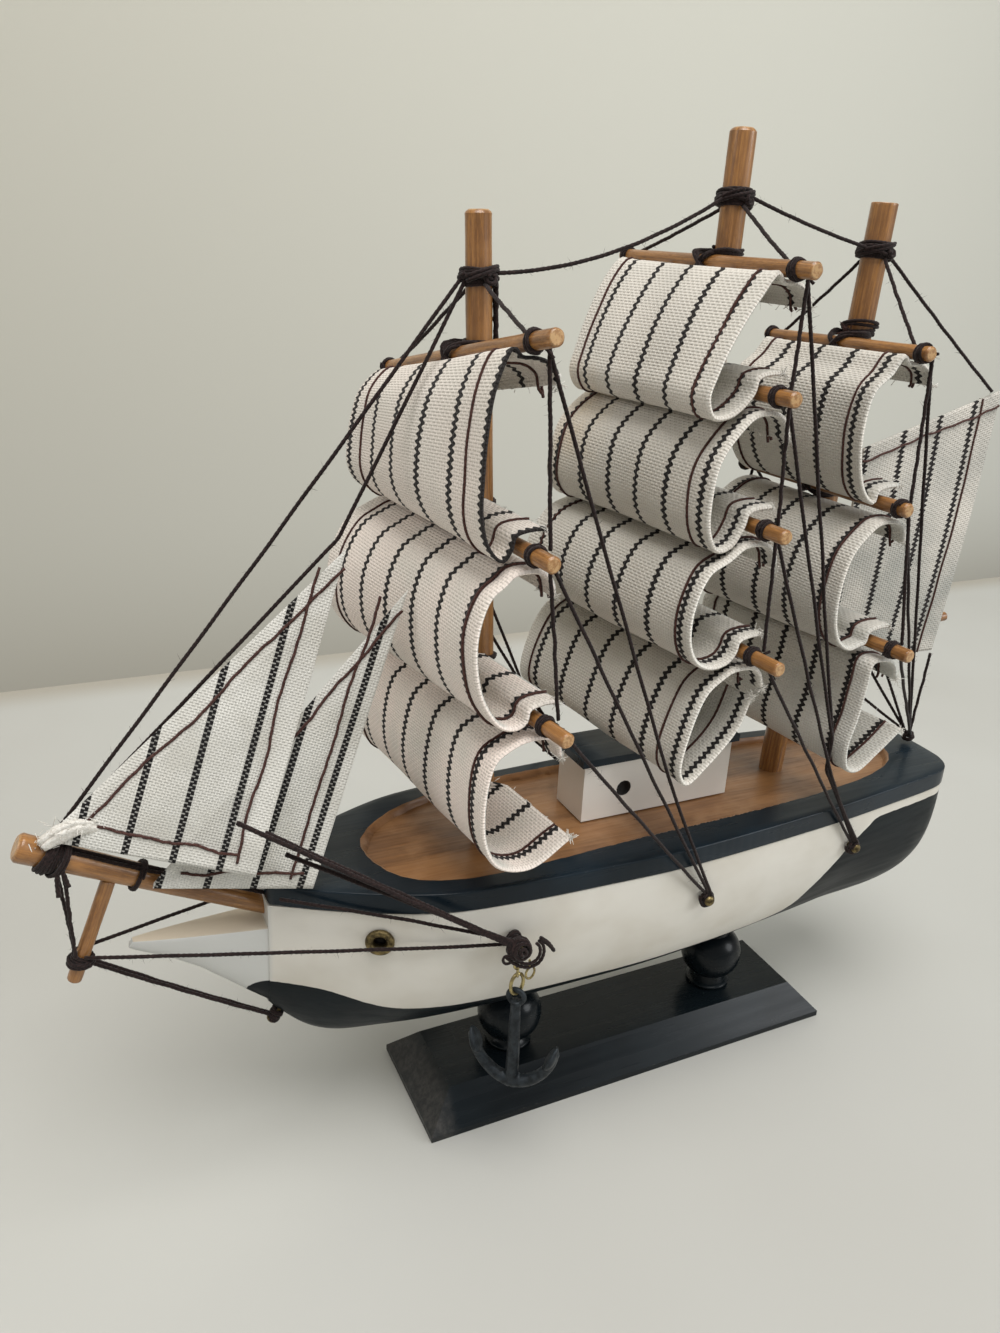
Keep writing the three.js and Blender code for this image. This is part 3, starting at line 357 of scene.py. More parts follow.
def tube(line, radius, sides=8, strands=0, lay=2.6):
    """A tube along a line; strands twist round it. Gives points, faces and grain coordinates."""
    line = np.asarray(line, float)
    along = run_along(line)
    angle = np.arange(sides) * 2 * math.pi / sides
    radius = np.broadcast_to(np.asarray(radius, float), (len(line),))
    size = np.broadcast_to(radius[:, None], (len(line), sides)).copy()
    if strands:
        turn = strands / 2 * (angle[None, :] - 2 * math.pi * along[:, None] / lay)
        size *= 0.74 + 0.26 * np.abs(np.cos(turn))
    uv = np.stack(np.broadcast_arrays(angle[None, :] * radius.mean(), along[:, None]), axis=2)
    return around_line(line, sides, size), capped_faces(len(line), sides), uv


def rope_tube(line, radius):
    """A two-strand rope along a line."""
    return tube(line, radius, 8, 2, 2.4)


def thread_tube(line, radius, step=0.45, sides=7, lay=2.2):
    """A two-strand thread along a line, for lashings."""
    return tube(spaced(line, step), radius, sides, 2, lay)


def sewing_tube(line, radius=0.34):
    """The finer thread of a seam."""
    return thread_tube(line, radius, 0.6, 6, 1.9)


def turned(profile, sides, at=(0, 0, 0), along=(0, 0, 1)):
    """A turned piece from (radius, height) pairs, about the axis `along` through `at`."""
    axis = unit(np.array(along, float))
    side = unit(np.cross(axis, (0, 0, 1) if abs(axis[2]) < 0.9 else (1, 0, 0)))
    up = np.cross(axis, side)
    angle = np.arange(sides) * 2 * math.pi / sides
    around = np.cos(angle)[:, None] * side + np.sin(angle)[:, None] * up
    profile = np.asarray(profile, float)
    points = np.array(at, float) + profile[:, 1][:, None, None] * axis + profile[:, 0][:, None, None] * around
    is_open = profile[0][0] > 0 and np.linalg.norm(profile[0] - profile[-1]) > 1e-6
    faces = (capped_faces if is_open else ring_faces)(len(profile), sides)
    grain = np.broadcast_arrays(angle[None, :] * profile[:, 0].max(), run_along(profile)[:, None])
    return points, faces, np.stack(grain, axis=2)


def arc(centre, radius, start, end, steps):
    """(radius, height) points of an arc, angles in degrees from the outward direction."""
    angles = np.radians(np.linspace(start, end, steps))
    return [(centre[0] + radius * math.cos(a), centre[1] + radius * math.sin(a)) for a in angles]


# ---------------------------------------------------------------- materials
TABLE_EDGE, WALL = 309.0, 760.0  # how far behind the ship's middle the table ends and the wall stands


def srgb(red, green, blue):
    """A linear colour from 0 to 255 display values."""
    shares = [c / 255 for c in (red, green, blue)]
    return tuple(((c + 0.055) / 1.055) ** 2.4 if c > 10 / 255 else c / 12.92 for c in shares) + (1,)


class Finish:
    """A material and short ways to add nodes to it."""

    def __init__(self, name, **sockets):
        self.material = bpy.data.materials.new(name)
        self.material.use_nodes = True
        self.tree = self.material.node_tree
        self.shader = self.tree.nodes["Principled BSDF"]
        for socket, value in sockets.items():
            self.shader.inputs[socket.replace("_", " ")].default_value = value

    def feed(self, socket, value):
        if isinstance(value, bpy.types.NodeSocket):
            self.tree.links.new(value, socket)
        else:
            socket.default_value = value

    def node(self, kind, inputs=(), **settings):
        made = self.tree.nodes.new("ShaderNode" + kind)
        for key, value in settings.items():
            setattr(made, key, value)
        for key, value in dict(inputs).items():
            self.feed(made.inputs[key], value)
        return made

    def sum(self, operation, *values):
        return self.node("Math", enumerate(values), operation=operation).outputs[0]

    def mix(self, factor, a, b):
        made = self.node("Mix", data_type="RGBA")
        for socket, value in ((made.inputs[0], factor), (made.inputs[6], a), (made.inputs[7], b)):
            self.feed(socket, value)
        return made.outputs[2]

    def step(self, value, low, high, to_low=0.0, to_high=1.0):
        inputs = {"Value": value, "From Min": low, "From Max": high, "To Min": to_low, "To Max": to_high}
        return self.node("MapRange", inputs, interpolation_type="SMOOTHSTEP").outputs[0]

    def axes(self, vector):
        return self.node("SeparateXYZ", {0: vector}).outputs

    def join(self, x, y, z):
        return self.node("CombineXYZ", {0: x, 1: y, 2: z}).outputs[0]

    def place(self):
        """The place in the ship's own frame, in millimetres."""
        place = self.node("TexCoord").outputs["Object"]
        return self.node("VectorMath", {0: place, "Scale": 1 / MM}, operation="SCALE").outputs[0]

    def cloth(self):
        return self.axes(self.node("UVMap", uv_map="cloth").outputs[0])

    def noise(self, vector, scale, detail=3.0, rough=0.55):
        inputs = {"Vector": vector, "Scale": scale, "Detail": detail, "Roughness": rough}
        return self.node("TexNoise", inputs).outputs[0]

    def stretched(self, vector, x, y, z):
        return self.node("Mapping", {"Vector": vector, "Scale": (x, y, z)}).outputs[0]

    def bump(self, height, depth, strength=1.0):
        inputs = {"Height": height, "Distance": depth * MM, "Strength": strength}
        return self.node("Bump", inputs).outputs[0]

    def finish(self, colour=None, roughness=None, normal=None, alpha=None):
        for socket, value in (
            ("Base Color", colour), ("Roughness", roughness), ("Normal", normal), ("Alpha", alpha),
        ):
            if value is not None:
                self.feed(self.shader.inputs[socket], value)
        return self.material


def weave_height(f, u, v, pitch_u, pitch_v):
    """Plain weave: threads that pass over and under each other."""
    across = f.sum("COSINE", f.sum("MULTIPLY", u, math.pi / pitch_u))
    down = f.sum("COSINE", f.sum("MULTIPLY", v, math.pi / pitch_v))
    ridges = f.sum("ADD", f.sum("ABSOLUTE", across), f.sum("ABSOLUTE", down))
    return f.sum("MULTIPLY_ADD", f.sum("MULTIPLY", across, down), 0.35, f.sum("MULTIPLY", ridges, 0.5))


def zigzag_stripe(f, u, v, pitch, swing, half, period):
    """1 on a dark cord that waves from side to side along v once every pitch, 0 elsewhere."""
    offset = f.sum("WRAP", u, pitch / 2, -pitch / 2)
    wave = f.sum("SINE", f.sum("MULTIPLY", v, 2 * math.pi / period))
    away = f.sum("ABSOLUTE", f.sum("MULTIPLY_ADD", wave, -swing, offset))
    return f.step(away, half - 0.08, half + 0.08, 1.0, 0.0)


def dashed_stripe(f, u, v, pitch, half, period):
    """1 on two rows of dark stitches side by side, each over the other's gaps, 0 elsewhere."""
    offset = f.sum("WRAP", u, pitch / 2, -pitch / 2)
    wave = f.sum("SINE", f.sum("MULTIPLY", v, 2 * math.pi / period))
    dash = f.step(f.sum("MULTIPLY", wave, f.sum("SIGN", offset)), -0.85, -0.55)
    within = f.step(f.sum("ABSOLUTE", offset), half - 0.07, half + 0.07, 1.0, 0.0)
    return f.sum("MULTIPLY", f.sum("MULTIPLY_ADD", dash, 0.5, 0.5), within)


def canvas():
    """Striped cotton, warmer forward, duller higher up, with painted shade greying the aft sails and the
    backs of the sails, and one tea-coloured stain.
    """
    f = Finish("striped_canvas", Roughness=0.95, Sheen_Weight=0.08, Sheen_Roughness=0.6)
    f.shader.inputs["Specular IOR Level"].default_value = 0.2
    u, v, _ = f.cloth()
    place = f.place()
    slub = f.noise(f.stretched(place, 0.5, 0.5, 0.5), 1.0, 2.0)
    u_wavy = f.sum("MULTIPLY_ADD", slub, 0.3, u)
    height = weave_height(f, u_wavy, v, 0.82, 0.64)
    x, _, z = f.axes(place)
    warm = f.step(x, -20.0, -45.0)
    cloth = f.mix(warm, srgb(232, 228, 219), srgb(248, 233, 223))
    # Painted shade: the sails further aft are greyed, the spanker's the most.
    cloth = f.mix(f.step(x, 15.0, 50.0, 0.0, 0.75), cloth, srgb(190, 190, 184))
    cloth = f.mix(f.step(x, 52.0, 60.0, 0.0, 0.8), cloth, srgb(156, 158, 152))
    cloth = f.mix(f.step(z, 110.0, 190.0, 0.0, 0.6), cloth, srgb(205, 200, 191))
    # Painted shade: faces turned aft take a cool grey, as the shade on the backs of the sails.
    shaded_back_face = f.axes(f.node("NewGeometry").outputs["Normal"])[0]
    cloth = f.mix(f.step(shaded_back_face, 0.1, 0.6, 0.0, 0.7), cloth, srgb(178, 186, 180))
    from_stain = f.node(
        "VectorMath", {0: place, 1: (-9.0, 27.0, 166.0)}, operation="DISTANCE"
    ).outputs["Value"]
    ragged = f.sum("MULTIPLY_ADD", f.noise(place, 0.12), 14.0, from_stain)
    cloth = f.mix(f.step(ragged, 25.0, 8.0, 0.0, 0.55), cloth, srgb(205, 176, 130))
    shade = f.mix(f.step(f.noise(place, 0.06, 4.0), 0.3, 0.8), cloth, srgb(224, 218, 208))
    gaps = f.mix(f.step(height, 0.1, 0.6), srgb(204, 195, 184), shade)
    fleck = f.step(f.noise(f.join(u, f.sum("MULTIPLY", v, 0.2), z), 3.2, 2.0), 0.66, 0.76, 0.0, 0.3)
    flecked = f.mix(fleck, gaps, srgb(196, 186, 172))
    stripe = zigzag_stripe(f, u_wavy, v, STRIPE_PITCH, 0.42, 0.72, 1.45)
    colour = f.mix(stripe, flecked, srgb(34, 30, 29))
    raised = f.sum("MULTIPLY_ADD", stripe, 0.5, height)
    return f.finish(colour, normal=f.bump(raised, 0.25, 0.8))


def gauze():
    """Thin open cotton with wide dark stripes, double in the hems."""
    f = Finish("striped_gauze", Roughness=0.95, Sheen_Weight=0.08)
    f.shader.inputs["Specular IOR Level"].default_value = 0.2
    u, v, _ = f.cloth()
    height = weave_height(f, u, v, 0.56, 0.56)
    place = f.place()
    cloth = f.mix(f.step(f.noise(place, 0.1), 0.35, 0.7), srgb(226, 224, 217), srgb(212, 209, 200))
    gaps = f.mix(f.step(height, 0.1, 0.62), srgb(198, 196, 189), cloth)
    stripe = dashed_stripe(f, u, v, GAUZE_STRIPE_PITCH, 0.68, 1.1)
    colour = f.mix(stripe, gaps, srgb(26, 25, 25))
    doubled = f.node("Attribute", attribute_name="doubled").outputs["Fac"]
    open_weave = f.step(height, 0.14, 0.56, 0.42, 0.95)
    patchy = f.step(f.noise(f.stretched(place, 0.05, 0.05, 0.09), 1.0, 3.0), 0.38, 0.62, 0.72, 1.0)
    single = f.sum("MULTIPLY", open_weave, patchy)
    alpha = f.sum("MAXIMUM", f.sum("MAXIMUM", single, doubled), stripe)
    return f.finish(colour, normal=f.bump(height, 0.2, 0.8), alpha=alpha)


def thread(name, dark, light):
    """Twisted cotton thread."""
    f = Finish(name, Roughness=0.9, Sheen_Weight=0.12, Sheen_Roughness=0.5)
    f.shader.inputs["Specular IOR Level"].default_value = 0.15
    place = f.place()
    fibre = f.noise(place, 2.6, 4.0, 0.7)
    colour = f.mix(f.step(fibre, 0.35, 0.72), dark, light)
    return f.finish(colour, normal=f.bump(f.noise(place, 6.0, 2.0), 0.12, 0.6))


def stick_wood():
    """Turned softwood under thin varnish, with its grain along the piece."""
    f = Finish("honey_wood", Coat_Weight=0.35, Coat_Roughness=0.18)
    u, v, _ = f.cloth()
    grain_place = f.join(u, f.sum("MULTIPLY", v, 0.045), f.sum("MULTIPLY", f.axes(f.place())[0], 0.01))
    grain = f.noise(grain_place, 1.5, 5.0, 0.65)
    fine = f.noise(f.join(u, f.sum("MULTIPLY", v, 0.1), 0.0), 6.0, 3.0)
    tone = f.sum("MULTIPLY_ADD", fine, 0.35, f.sum("MULTIPLY", grain, 0.75))
    base = f.mix(f.step(tone, 0.38, 0.66), srgb(172, 121, 66), srgb(120, 79, 40))
    blotch = f.mix(f.step(f.noise(f.place(), 0.08), 0.45, 0.7, 0.0, 0.4), base, srgb(174, 124, 72))
    pale = f.mix(f.step(f.noise(f.place(), 1.4), 0.4, 0.62), srgb(204, 166, 116), srgb(164, 120, 74))
    cut_end = f.sum("MULTIPLY", f.node("Attribute", attribute_name="cut_end").outputs["Fac"], 0.75)
    rough = f.step(fine, 0.3, 0.7, 0.26, 0.46)
    return f.finish(f.mix(cut_end, blotch, pale), rough, f.bump(tone, 0.12, 0.6))


def deck_wood():
    """Varnished board with its grain along the ship."""
    f = Finish("deck_wood", Roughness=0.45, Coat_Weight=0.2, Coat_Roughness=0.3)
    place = f.place()
    rings = f.noise(f.stretched(place, 0.02, 0.14, 0.2), 1.0, 5.0, 0.6)
    streak = f.noise(f.stretched(place, 0.08, 1.2, 1.2), 1.0, 3.0)
    tone = f.sum("MULTIPLY_ADD", streak, 0.3, f.sum("MULTIPLY", rings, 0.75))
    grain = f.mix(f.step(tone, 0.34, 0.72), srgb(150, 106, 64), srgb(104, 70, 41))
    colour = f.mix(f.step(f.noise(place, 0.11, 4.0), 0.42, 0.7, 0.0, 0.5), grain, srgb(166, 126, 88))
    return f.finish(colour, f.step(streak, 0.3, 0.7, 0.3, 0.5), f.bump(tone, 0.25, 0.7))


def worn_edge(f, width, amount):
    """Near 1 where an edge has lost its paint, in broken patches."""
    rounded = f.node("Bevel", {"Radius": width * MM}, samples=4).outputs[0]
    flat = f.node("NewGeometry").outputs["Normal"]
    facing = f.node("VectorMath", {0: rounded, 1: flat}, operation="DOT_PRODUCT").outputs["Value"]
    patchy = f.step(f.noise(f.place(), 0.55, 5.0, 0.75), 0.66 - amount * 0.3, 0.72 - amount * 0.2)
    return f.sum("MULTIPLY", f.step(facing, 0.985, 0.93), patchy)


def navy_paint():
    """Dark blue brushed paint, scuffed in places and worn at the edges."""
    f = Finish("navy_paint", Coat_Weight=0.12, Coat_Roughness=0.12, Specular_IOR_Level=0.2)
    place = f.place()
    brush = f.noise(f.stretched(place, 0.02, 0.5, 0.5), 1.0, 4.0)
    mottled = f.noise(place, 0.05, 3.0)
    base = f.mix(f.step(mottled, 0.35, 0.7), srgb(14, 24, 31), srgb(22, 34, 43))
    scuff = f.step(f.noise(place, 0.45, 5.0, 0.75), 0.7, 0.74, 0.0, 0.4)
    scuffed = f.mix(scuff, base, srgb(62, 72, 78))
    colour = f.mix(worn_edge(f, 0.35, 0.25), scuffed, srgb(170, 168, 156))
    rough = f.step(brush, 0.25, 0.75, 0.24, 0.42)
    return f.finish(colour, rough, f.bump(brush, 0.1, 0.5))


def stand_paint():
    """The stand's darker paint, with dust at its fore end."""
    f = Finish("stand_paint", Coat_Weight=0.1, Coat_Roughness=0.14, Specular_IOR_Level=0.15)
    place = f.place()
    x = f.axes(place)[0]
    brush = f.noise(f.stretched(place, 0.02, 0.4, 0.4), 1.0, 4.0)
    base = f.mix(f.step(f.noise(place, 0.04, 3.0), 0.35, 0.7), srgb(12, 17, 20), srgb(19, 26, 30))
    dust = f.sum(
        "MULTIPLY", f.step(x, -52.0, -56.5), f.step(f.noise(place, 0.5, 5.0, 0.7), 0.35, 0.7, 0.35, 1.0)
    )
    dusty = f.mix(f.sum("MULTIPLY", dust, 0.5), base, srgb(92, 88, 84))
    colour = f.mix(worn_edge(f, 0.5, 0.3), dusty, srgb(62, 62, 60))
    rough = f.sum("ADD", f.step(brush, 0.25, 0.75, 0.2, 0.36), f.sum("MULTIPLY", dust, 0.35))
    return f.finish(colour, rough, f.bump(brush, 0.1, 0.5))


def white_layers(f, place):
    """Brushed white paint, yellowed a little in patches, and its brush marks."""
    brush = f.noise(f.stretched(place, 0.018, 0.45, 0.45), 1.0, 4.0)
    tone = f.mix(f.step(f.noise(place, 0.045, 3.0), 0.35, 0.75), srgb(226, 222, 213), srgb(213, 207, 195))
    speck = f.step(f.noise(place, 0.6, 4.0, 0.7), 0.72, 0.76, 0.0, 0.35)
    return f.mix(speck, tone, srgb(178, 166, 148)), brush


def white_paint():
    """The deckhouse's white, painted lighter to make up for the shade under the sails."""
    f = Finish("white_paint", Coat_Weight=0.15, Coat_Roughness=0.3)
    place = f.place()
    colour, brush = white_layers(f, place)
    # Painted light: the white is lifted towards a brighter white, against the shade under the sails.
    colour = f.mix(0.6, colour, srgb(246, 240, 232))
    return f.finish(colour, f.step(brush, 0.3, 0.7, 0.35, 0.5), f.bump(brush, 0.12, 0.5))


def hull_paint():
    """White sides over a dark bottom; the paint line follows PAINT_LINE."""
    f = Finish("hull_paint", Specular_IOR_Level=0.12)
    place = f.place()
    x, _, z = f.axes(place)
    white, brush = white_layers(f, place)
    white = f.mix(f.step(x, BOW_X + 1.0, BOW_X - 0.5), white, srgb(208, 208, 204))
    upwards = f.axes(f.node("NewGeometry").outputs["Normal"])[2]
    bare = f.sum("MULTIPLY", f.step(upwards, 0.8, 0.92), f.step(x, BOW_X + 0.5, BOW_X - 0.5))
    white = f.mix(bare, white, srgb(201, 189, 170))
    first = PAINT_LINE[0][0]
    share = f.sum("DIVIDE", f.sum("SUBTRACT", x, first), STERN_X - first)
    line = f.node("FloatCurve", {"Value": share})
    curve = line.mapping.curves[0]
    low, high = 30.0, 75.0
    ends = [((px - first) / (STERN_X - first), (pz - low) / (high - low)) for px, pz in PAINT_LINE]
    curve.points[0].location, curve.points[1].location = ends[0], ends[-1]
    for end in ends[1:-1]:
        curve.points.new(*end)
    line.mapping.update()
    edge = f.sum("MULTIPLY_ADD", line.outputs[0], high - low, low)
    unsteady = f.sum("MULTIPLY_ADD", f.noise(place, 0.3, 3.0), 0.5, edge)
    dark = f.step(f.sum("SUBTRACT", unsteady, z), 0.2, 0.36)
    navy = f.mix(f.step(f.noise(place, 0.05), 0.35, 0.7), srgb(9, 16, 20), srgb(15, 24, 28))
    rough = f.step(brush, 0.3, 0.7, 0.3, 0.45)
    return f.finish(f.mix(dark, white, navy), rough, f.bump(brush, 0.12, 0.5))


def metal(name, bright, dull, rough, metallic=1.0):
    """Tarnished metal."""
    f = Finish(name, Metallic=metallic)
    place = f.place()
    tarnish = f.noise(place, 0.7, 4.0, 0.65)
    colour = f.mix(f.step(tarnish, 0.35, 0.68), bright, dull)
    roughness = f.step(tarnish, 0.3, 0.7, rough - 0.08, rough + 0.14)
    return f.finish(colour, roughness, f.bump(f.noise(place, 2.5, 3.0), 0.08, 0.5))


def shadow_lining():
    """Near-black: painted shade at the bottoms of the hawse bores, and the black paint of the portholes."""
    f = Finish("bore_shade_and_black_paint", Roughness=0.9)
    colour = f.mix(f.step(f.noise(f.place(), 0.8), 0.4, 0.6), srgb(20, 18, 17), srgb(34, 29, 26))
    return f.finish(colour)


def table_top():
    """A pale table top whose far edge melts into the shade at the foot of the wall."""
    f = Finish("table_top", Coat_Weight=0.1, Coat_Roughness=0.3)
    place = f.place()
    cloudy = f.noise(place, 0.004, 3.0)
    colour = f.mix(f.step(cloudy, 0.3, 0.75), srgb(190, 190, 185), srgb(183, 182, 176))
    dust = f.step(f.noise(place, 0.5, 4.0, 0.7), 0.76, 0.81, 0.0, 0.25)
    far = f.step(f.axes(place)[1], TABLE_EDGE - 26.0, TABLE_EDGE)
    whole = f.mix(far, f.mix(dust, colour, srgb(170, 166, 158)), srgb(168, 162, 150))
    return f.finish(whole, f.step(cloudy, 0.3, 0.7, 0.34, 0.46))


def wall_paint():
    """A plain wall, with painted shade darker towards its foot and painted light brighter towards the right.
    """
    f = Finish("wall_paint", Roughness=0.95)
    place = f.place()
    z = f.axes(place)[2]
    x = f.axes(place)[0]
    # Painted light: brighter towards the right, where the light comes from.
    shade = f.mix(f.step(x, -500.0, 900.0), srgb(192, 189, 176), srgb(224, 223, 212))
    # Painted shade: darker towards the wall's foot.
    return f.finish(f.mix(f.step(z, -330.0, -20.0), srgb(172, 166, 152), shade))


FINISHES = {
    "canvas": canvas(),
    "gauze": gauze(),
    "thread": thread("rigging_thread", srgb(23, 17, 17), srgb(56, 42, 40)),
    "brown_thread": thread("brown_thread", srgb(54, 34, 31), srgb(96, 66, 59)),
    "fray": thread("loose_cotton", srgb(206, 200, 190), srgb(238, 236, 230)),
    "honey_wood": stick_wood(),
    "deck_wood": deck_wood(),
    "navy_paint": navy_paint(),
    "stand_paint": stand_paint(),
    "white_paint": white_paint(),
    "hull_paint": hull_paint(),
    "brass": metal("aged_brass", srgb(138, 122, 84), srgb(70, 61, 45), 0.44),
    "bright_brass": metal("chain_brass", srgb(192, 176, 126), srgb(114, 102, 70), 0.32),
    "dark_metal": metal("dark_cast_metal", srgb(48, 54, 59), srgb(28, 32, 35), 0.48, 0.6),
    "steel": metal("zinc_steel", srgb(168, 170, 172), srgb(120, 122, 124), 0.4),
    "bore": shadow_lining(),
}


# ---------------------------------------------------------------- camera, lights and stage
def make_camera():
    """The viewpoint: ahead of the ship, to port and above, close to it."""
    azimuth, elevation, roll = math.radians(-25.8), math.radians(21.6), math.radians(2.68)
    level_out = math.cos(elevation)
    back = Vector((math.sin(azimuth) * level_out, -math.cos(azimuth) * level_out, math.sin(elevation)))
    level = (-back).cross(Vector((0, 0, 1))).normalized()
    upright = level.cross(-back)
    right = level * math.cos(roll) + upright * math.sin(roll)
    up = upright * math.cos(roll) - level * math.sin(roll)
    data = bpy.data.cameras.new("camera")
    data.sensor_width = 36
    data.lens = 26.9
    data.clip_start, data.clip_end = 0.005, 20
    camera = put_in_scene("camera", data)
    camera.matrix_world = Matrix((right, up, back)).transposed().to_4x4()
    camera.location = Vector((-129.2, -185.8, 197.4)) * MM
    bpy.context.scene.camera = camera


def area_light(name, place, target, size, power, colour):
    """A round lamp; its places are in metres."""
    data = bpy.data.lights.new(name, "AREA")
    data.shape, data.size, data.energy, data.color = "DISK", size, power, colour
    lamp = put_in_scene(name, data)
    lamp.location = place
    lamp.rotation_mode = "QUATERNION"
    lamp.rotation_quaternion = (Vector(target) - Vector(place)).to_track_quat("-Z", "Y")


def make_lights():
    """A ceiling, a light ahead of the ship, a window astern and the light of the room."""
    area_light("ceiling", (-0.05, -0.35, 1.25), (0, 0, 0.1), 0.9, 13.5, (1.0, 0.985, 0.965))
    area_light("ahead", (-1.3, 0.1, 0.8), (0, 0, 0.12), 0.7, 3.6, (1.0, 0.98, 0.96))
    area_light("window", (1.15, -0.95, 0.75), (0, 0, 0.1), 0.8, 9, (0.95, 0.98, 1.0))
    world = bpy.data.worlds.new("room_light")
    world.use_nodes = True
    world.node_tree.nodes["Background"].inputs["Color"].default_value = (0.85, 0.85, 0.83, 1)
    world.node_tree.nodes["Background"].inputs["Strength"].default_value = 0.42
    bpy.context.scene.world = world
    bpy.context.scene.view_settings.view_transform = "Standard"


def stage_plane(name, corners, material):
    """One flat piece of the surroundings."""
    mesh = bpy.data.meshes.new(name)
    mesh.from_pydata(corners, [], [(0, 1, 2, 3)])
    mesh.materials.append(material)
    put_in_scene(name, mesh)


def make_stage():
    """A pale table top with its far edge behind the ship, and a wall further off."""
    edge, wall, floor = TABLE_EDGE * MM, WALL * MM, -0.00004
    rim = [(-1.6, -1.4, floor), (3.0, -1.4, floor), (3.0, edge, floor), (-1.6, edge, floor)]
    stage_plane("table", rim, table_top())
    low, high = -0.9, 3.0
    stage_plane("wall", [(-4, wall, low), (6, wall, low), (6, wall, high), (-4, wall, high)], wall_paint())


# ---------------------------------------------------------------- places on the ship
breadth_at, keel_at = smooth_table(BREADTH), smooth_table(KEEL)


def section_power(x):
    """How full the hull's section is: it grows squarer towards the stern."""
    s = np.clip((np.asarray(x, float) - 55) / 35, 0, 1)
    return 2.2 + s * s * (3 - 2 * s)


def half_breadth(x, z):
    """The hull's half breadth at a place along it and a height."""
    power = section_power(x)
    down = np.clip((HULL_TOP - z) / (HULL_TOP - keel_at(x)), 0, 1)
    return breadth_at(x) * (1 - down**power) ** (1 / power)


def mast_point(name, z):
    """The point on a mast's axis at a height."""
    mast = MASTS[name]
    rise = z - MAST_DATUM
    x = mast["x"] + math.tan(math.radians(mast["rake"])) * rise
    y = mast["y"] - math.tan(math.radians(mast["lean"])) * rise
    return np.array([x, y, z])


def yard_point(name, reach):
    """The point on a yard's axis this far to starboard of the middle."""
    mast, z, _, tilt, brace = YARDS[name]
    tilt, brace = math.radians(tilt), math.radians(brace)
    to_starboard = np.array(
        [math.sin(brace) * math.cos(tilt), math.cos(brace) * math.cos(tilt), -math.sin(tilt)]
    )
    centre = mast_point(mast, z) - (YARD_STEP, 0, 0)
    centre[1] = 0
    return centre + to_starboard * reach


def tie_reach(yard, sign):
    """How far out a yard's end lashing sits, just past its widest sail."""
    tied = [s for s in SAILS.values() if yard in (s["head"], s.get("foot"))]
    return sign * (max(s["port"] if sign < 0 else s["starboard"] for s in tied) + TIE_SPACE)


def tie_point(yard, sign):
    """Where a thread leaves a yard's end lashing, behind the yard."""
    return yard_point(yard, tie_reach(yard, sign)) + (2.3, 0, 0)


def nail_ends(place, sign):
    """A nail's root on the hull's side, and its tip."""
    x, z, out = NAILS[place]
    reach = float(half_breadth(x, z))
    return np.array([x, sign * reach, z]), np.array([x, sign * (reach + out), z])


def nail_winding(place, sign):
    """The middle of the thread wound on a nail."""
    root, tip = nail_ends(place, sign)
    return root + unit(tip - root) * NAIL_TIE_OUT


def sprit_point(share):
    """The point this share of the way out along the bowsprit."""
    return SPRIT_BASE + (SPRIT_TIP - SPRIT_BASE) * share


def striker_tie():
    """The middle of the thread wound on the dolphin striker."""
    return STRIKER_TOP + (STRIKER_FOOT - STRIKER_TOP) * STRIKER_TIE


# ---------------------------------------------------------------- hull, rail and deck
def hull_piece():
    """The hull: sections swept from bow to stern, closed by the deck plane."""
    xs = np.concatenate(
        [np.linspace(BOW_X, -70, 30), np.linspace(-67, 78, 46), np.linspace(80, STERN_X, 34)]
    )
    angles = np.linspace(0, math.pi / 2, 22)
    rings = []
    for x in xs:
        power = section_power(x)
        y = breadth_at(x) * np.cos(angles) ** (2 / power)
        y[-1] = 0
        z = HULL_TOP - (HULL_TOP - keel_at(x)) * np.sin(angles) ** (2 / power)
        side = np.stack([np.full_like(y, x), y, z], axis=1)
        port = side[:-1][::-1] * (1, -1, 1)
        rings.append(np.vstack([side, port]))
    shape = Shape().add(np.vstack(rings), capped_faces(len(rings), len(rings[0])))
    hull = shape.build("hull_body", "hull_paint", sharp=38)
    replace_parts(hull, "hull")
    cut_eyelet_holes(hull)


BEAK_TIP_X, BEAK_ROOT_X = -122.3, -93.4
BEAK_TOP = [(BEAK_TIP_X, 63.7), (-121.4, 64.9), (-108, 64.4), (BEAK_ROOT_X, 63.9)]
BEAK_FOOT = [
    (BEAK_TIP_X, 63.2), (-120.6, 62), (-115, 59.2), (-108.3, 54.4), (-103, 49.4), (-98, 44.6),
    (BEAK_ROOT_X, 40.4),
]


def cutwater_piece():
    """The beak ahead of the hull: flat on top, narrowing downwards and towards its tip."""
    xs = np.concatenate([[-122.2, -121.9, -121.4], np.linspace(-120.6, BEAK_ROOT_X, 30)])
    top, foot = np.array(BEAK_TOP).T, np.array(BEAK_FOOT).T
    rings = []
    for x in xs:
        high, low = np.interp(x, *top), np.interp(x, *foot)
        share = (x - BEAK_TIP_X) / (BEAK_ROOT_X - BEAK_TIP_X)
        half = 0.5 + 4.75 * share**0.75
        down = np.array([0, 0, 0.012, 0.05, 0.15, 0.35, 0.6, 0.82, 0.94, 1.0])
        narrow = np.array([0.0, 0.86, 0.96, 1.0, 0.99, 0.93, 0.8, 0.62, 0.4, 0.0])
        side = np.column_stack([np.full(10, x), half * narrow, high + (low - high) * down])
        rings.append(np.vstack([side, side[1:-1][::-1] * (1, -1, 1)]))
    shape = Shape().add(np.vstack(rings), capped_faces(len(rings), len(rings[0])))
    beak = shape.build("beak", "hull_paint", sharp=45)
    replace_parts(beak, "cutwater")


def eyelet_place(sign):
    """An eyelet's middle on the hull, and the way that it faces."""
    x, z = EYELET
    slope = float(half_breadth(x + 1, z) - half_breadth(x - 1, z)) / 2
    return np.array([x, sign * float(half_breadth(x, z)), z]), unit(np.array([-slope, sign, 0]))


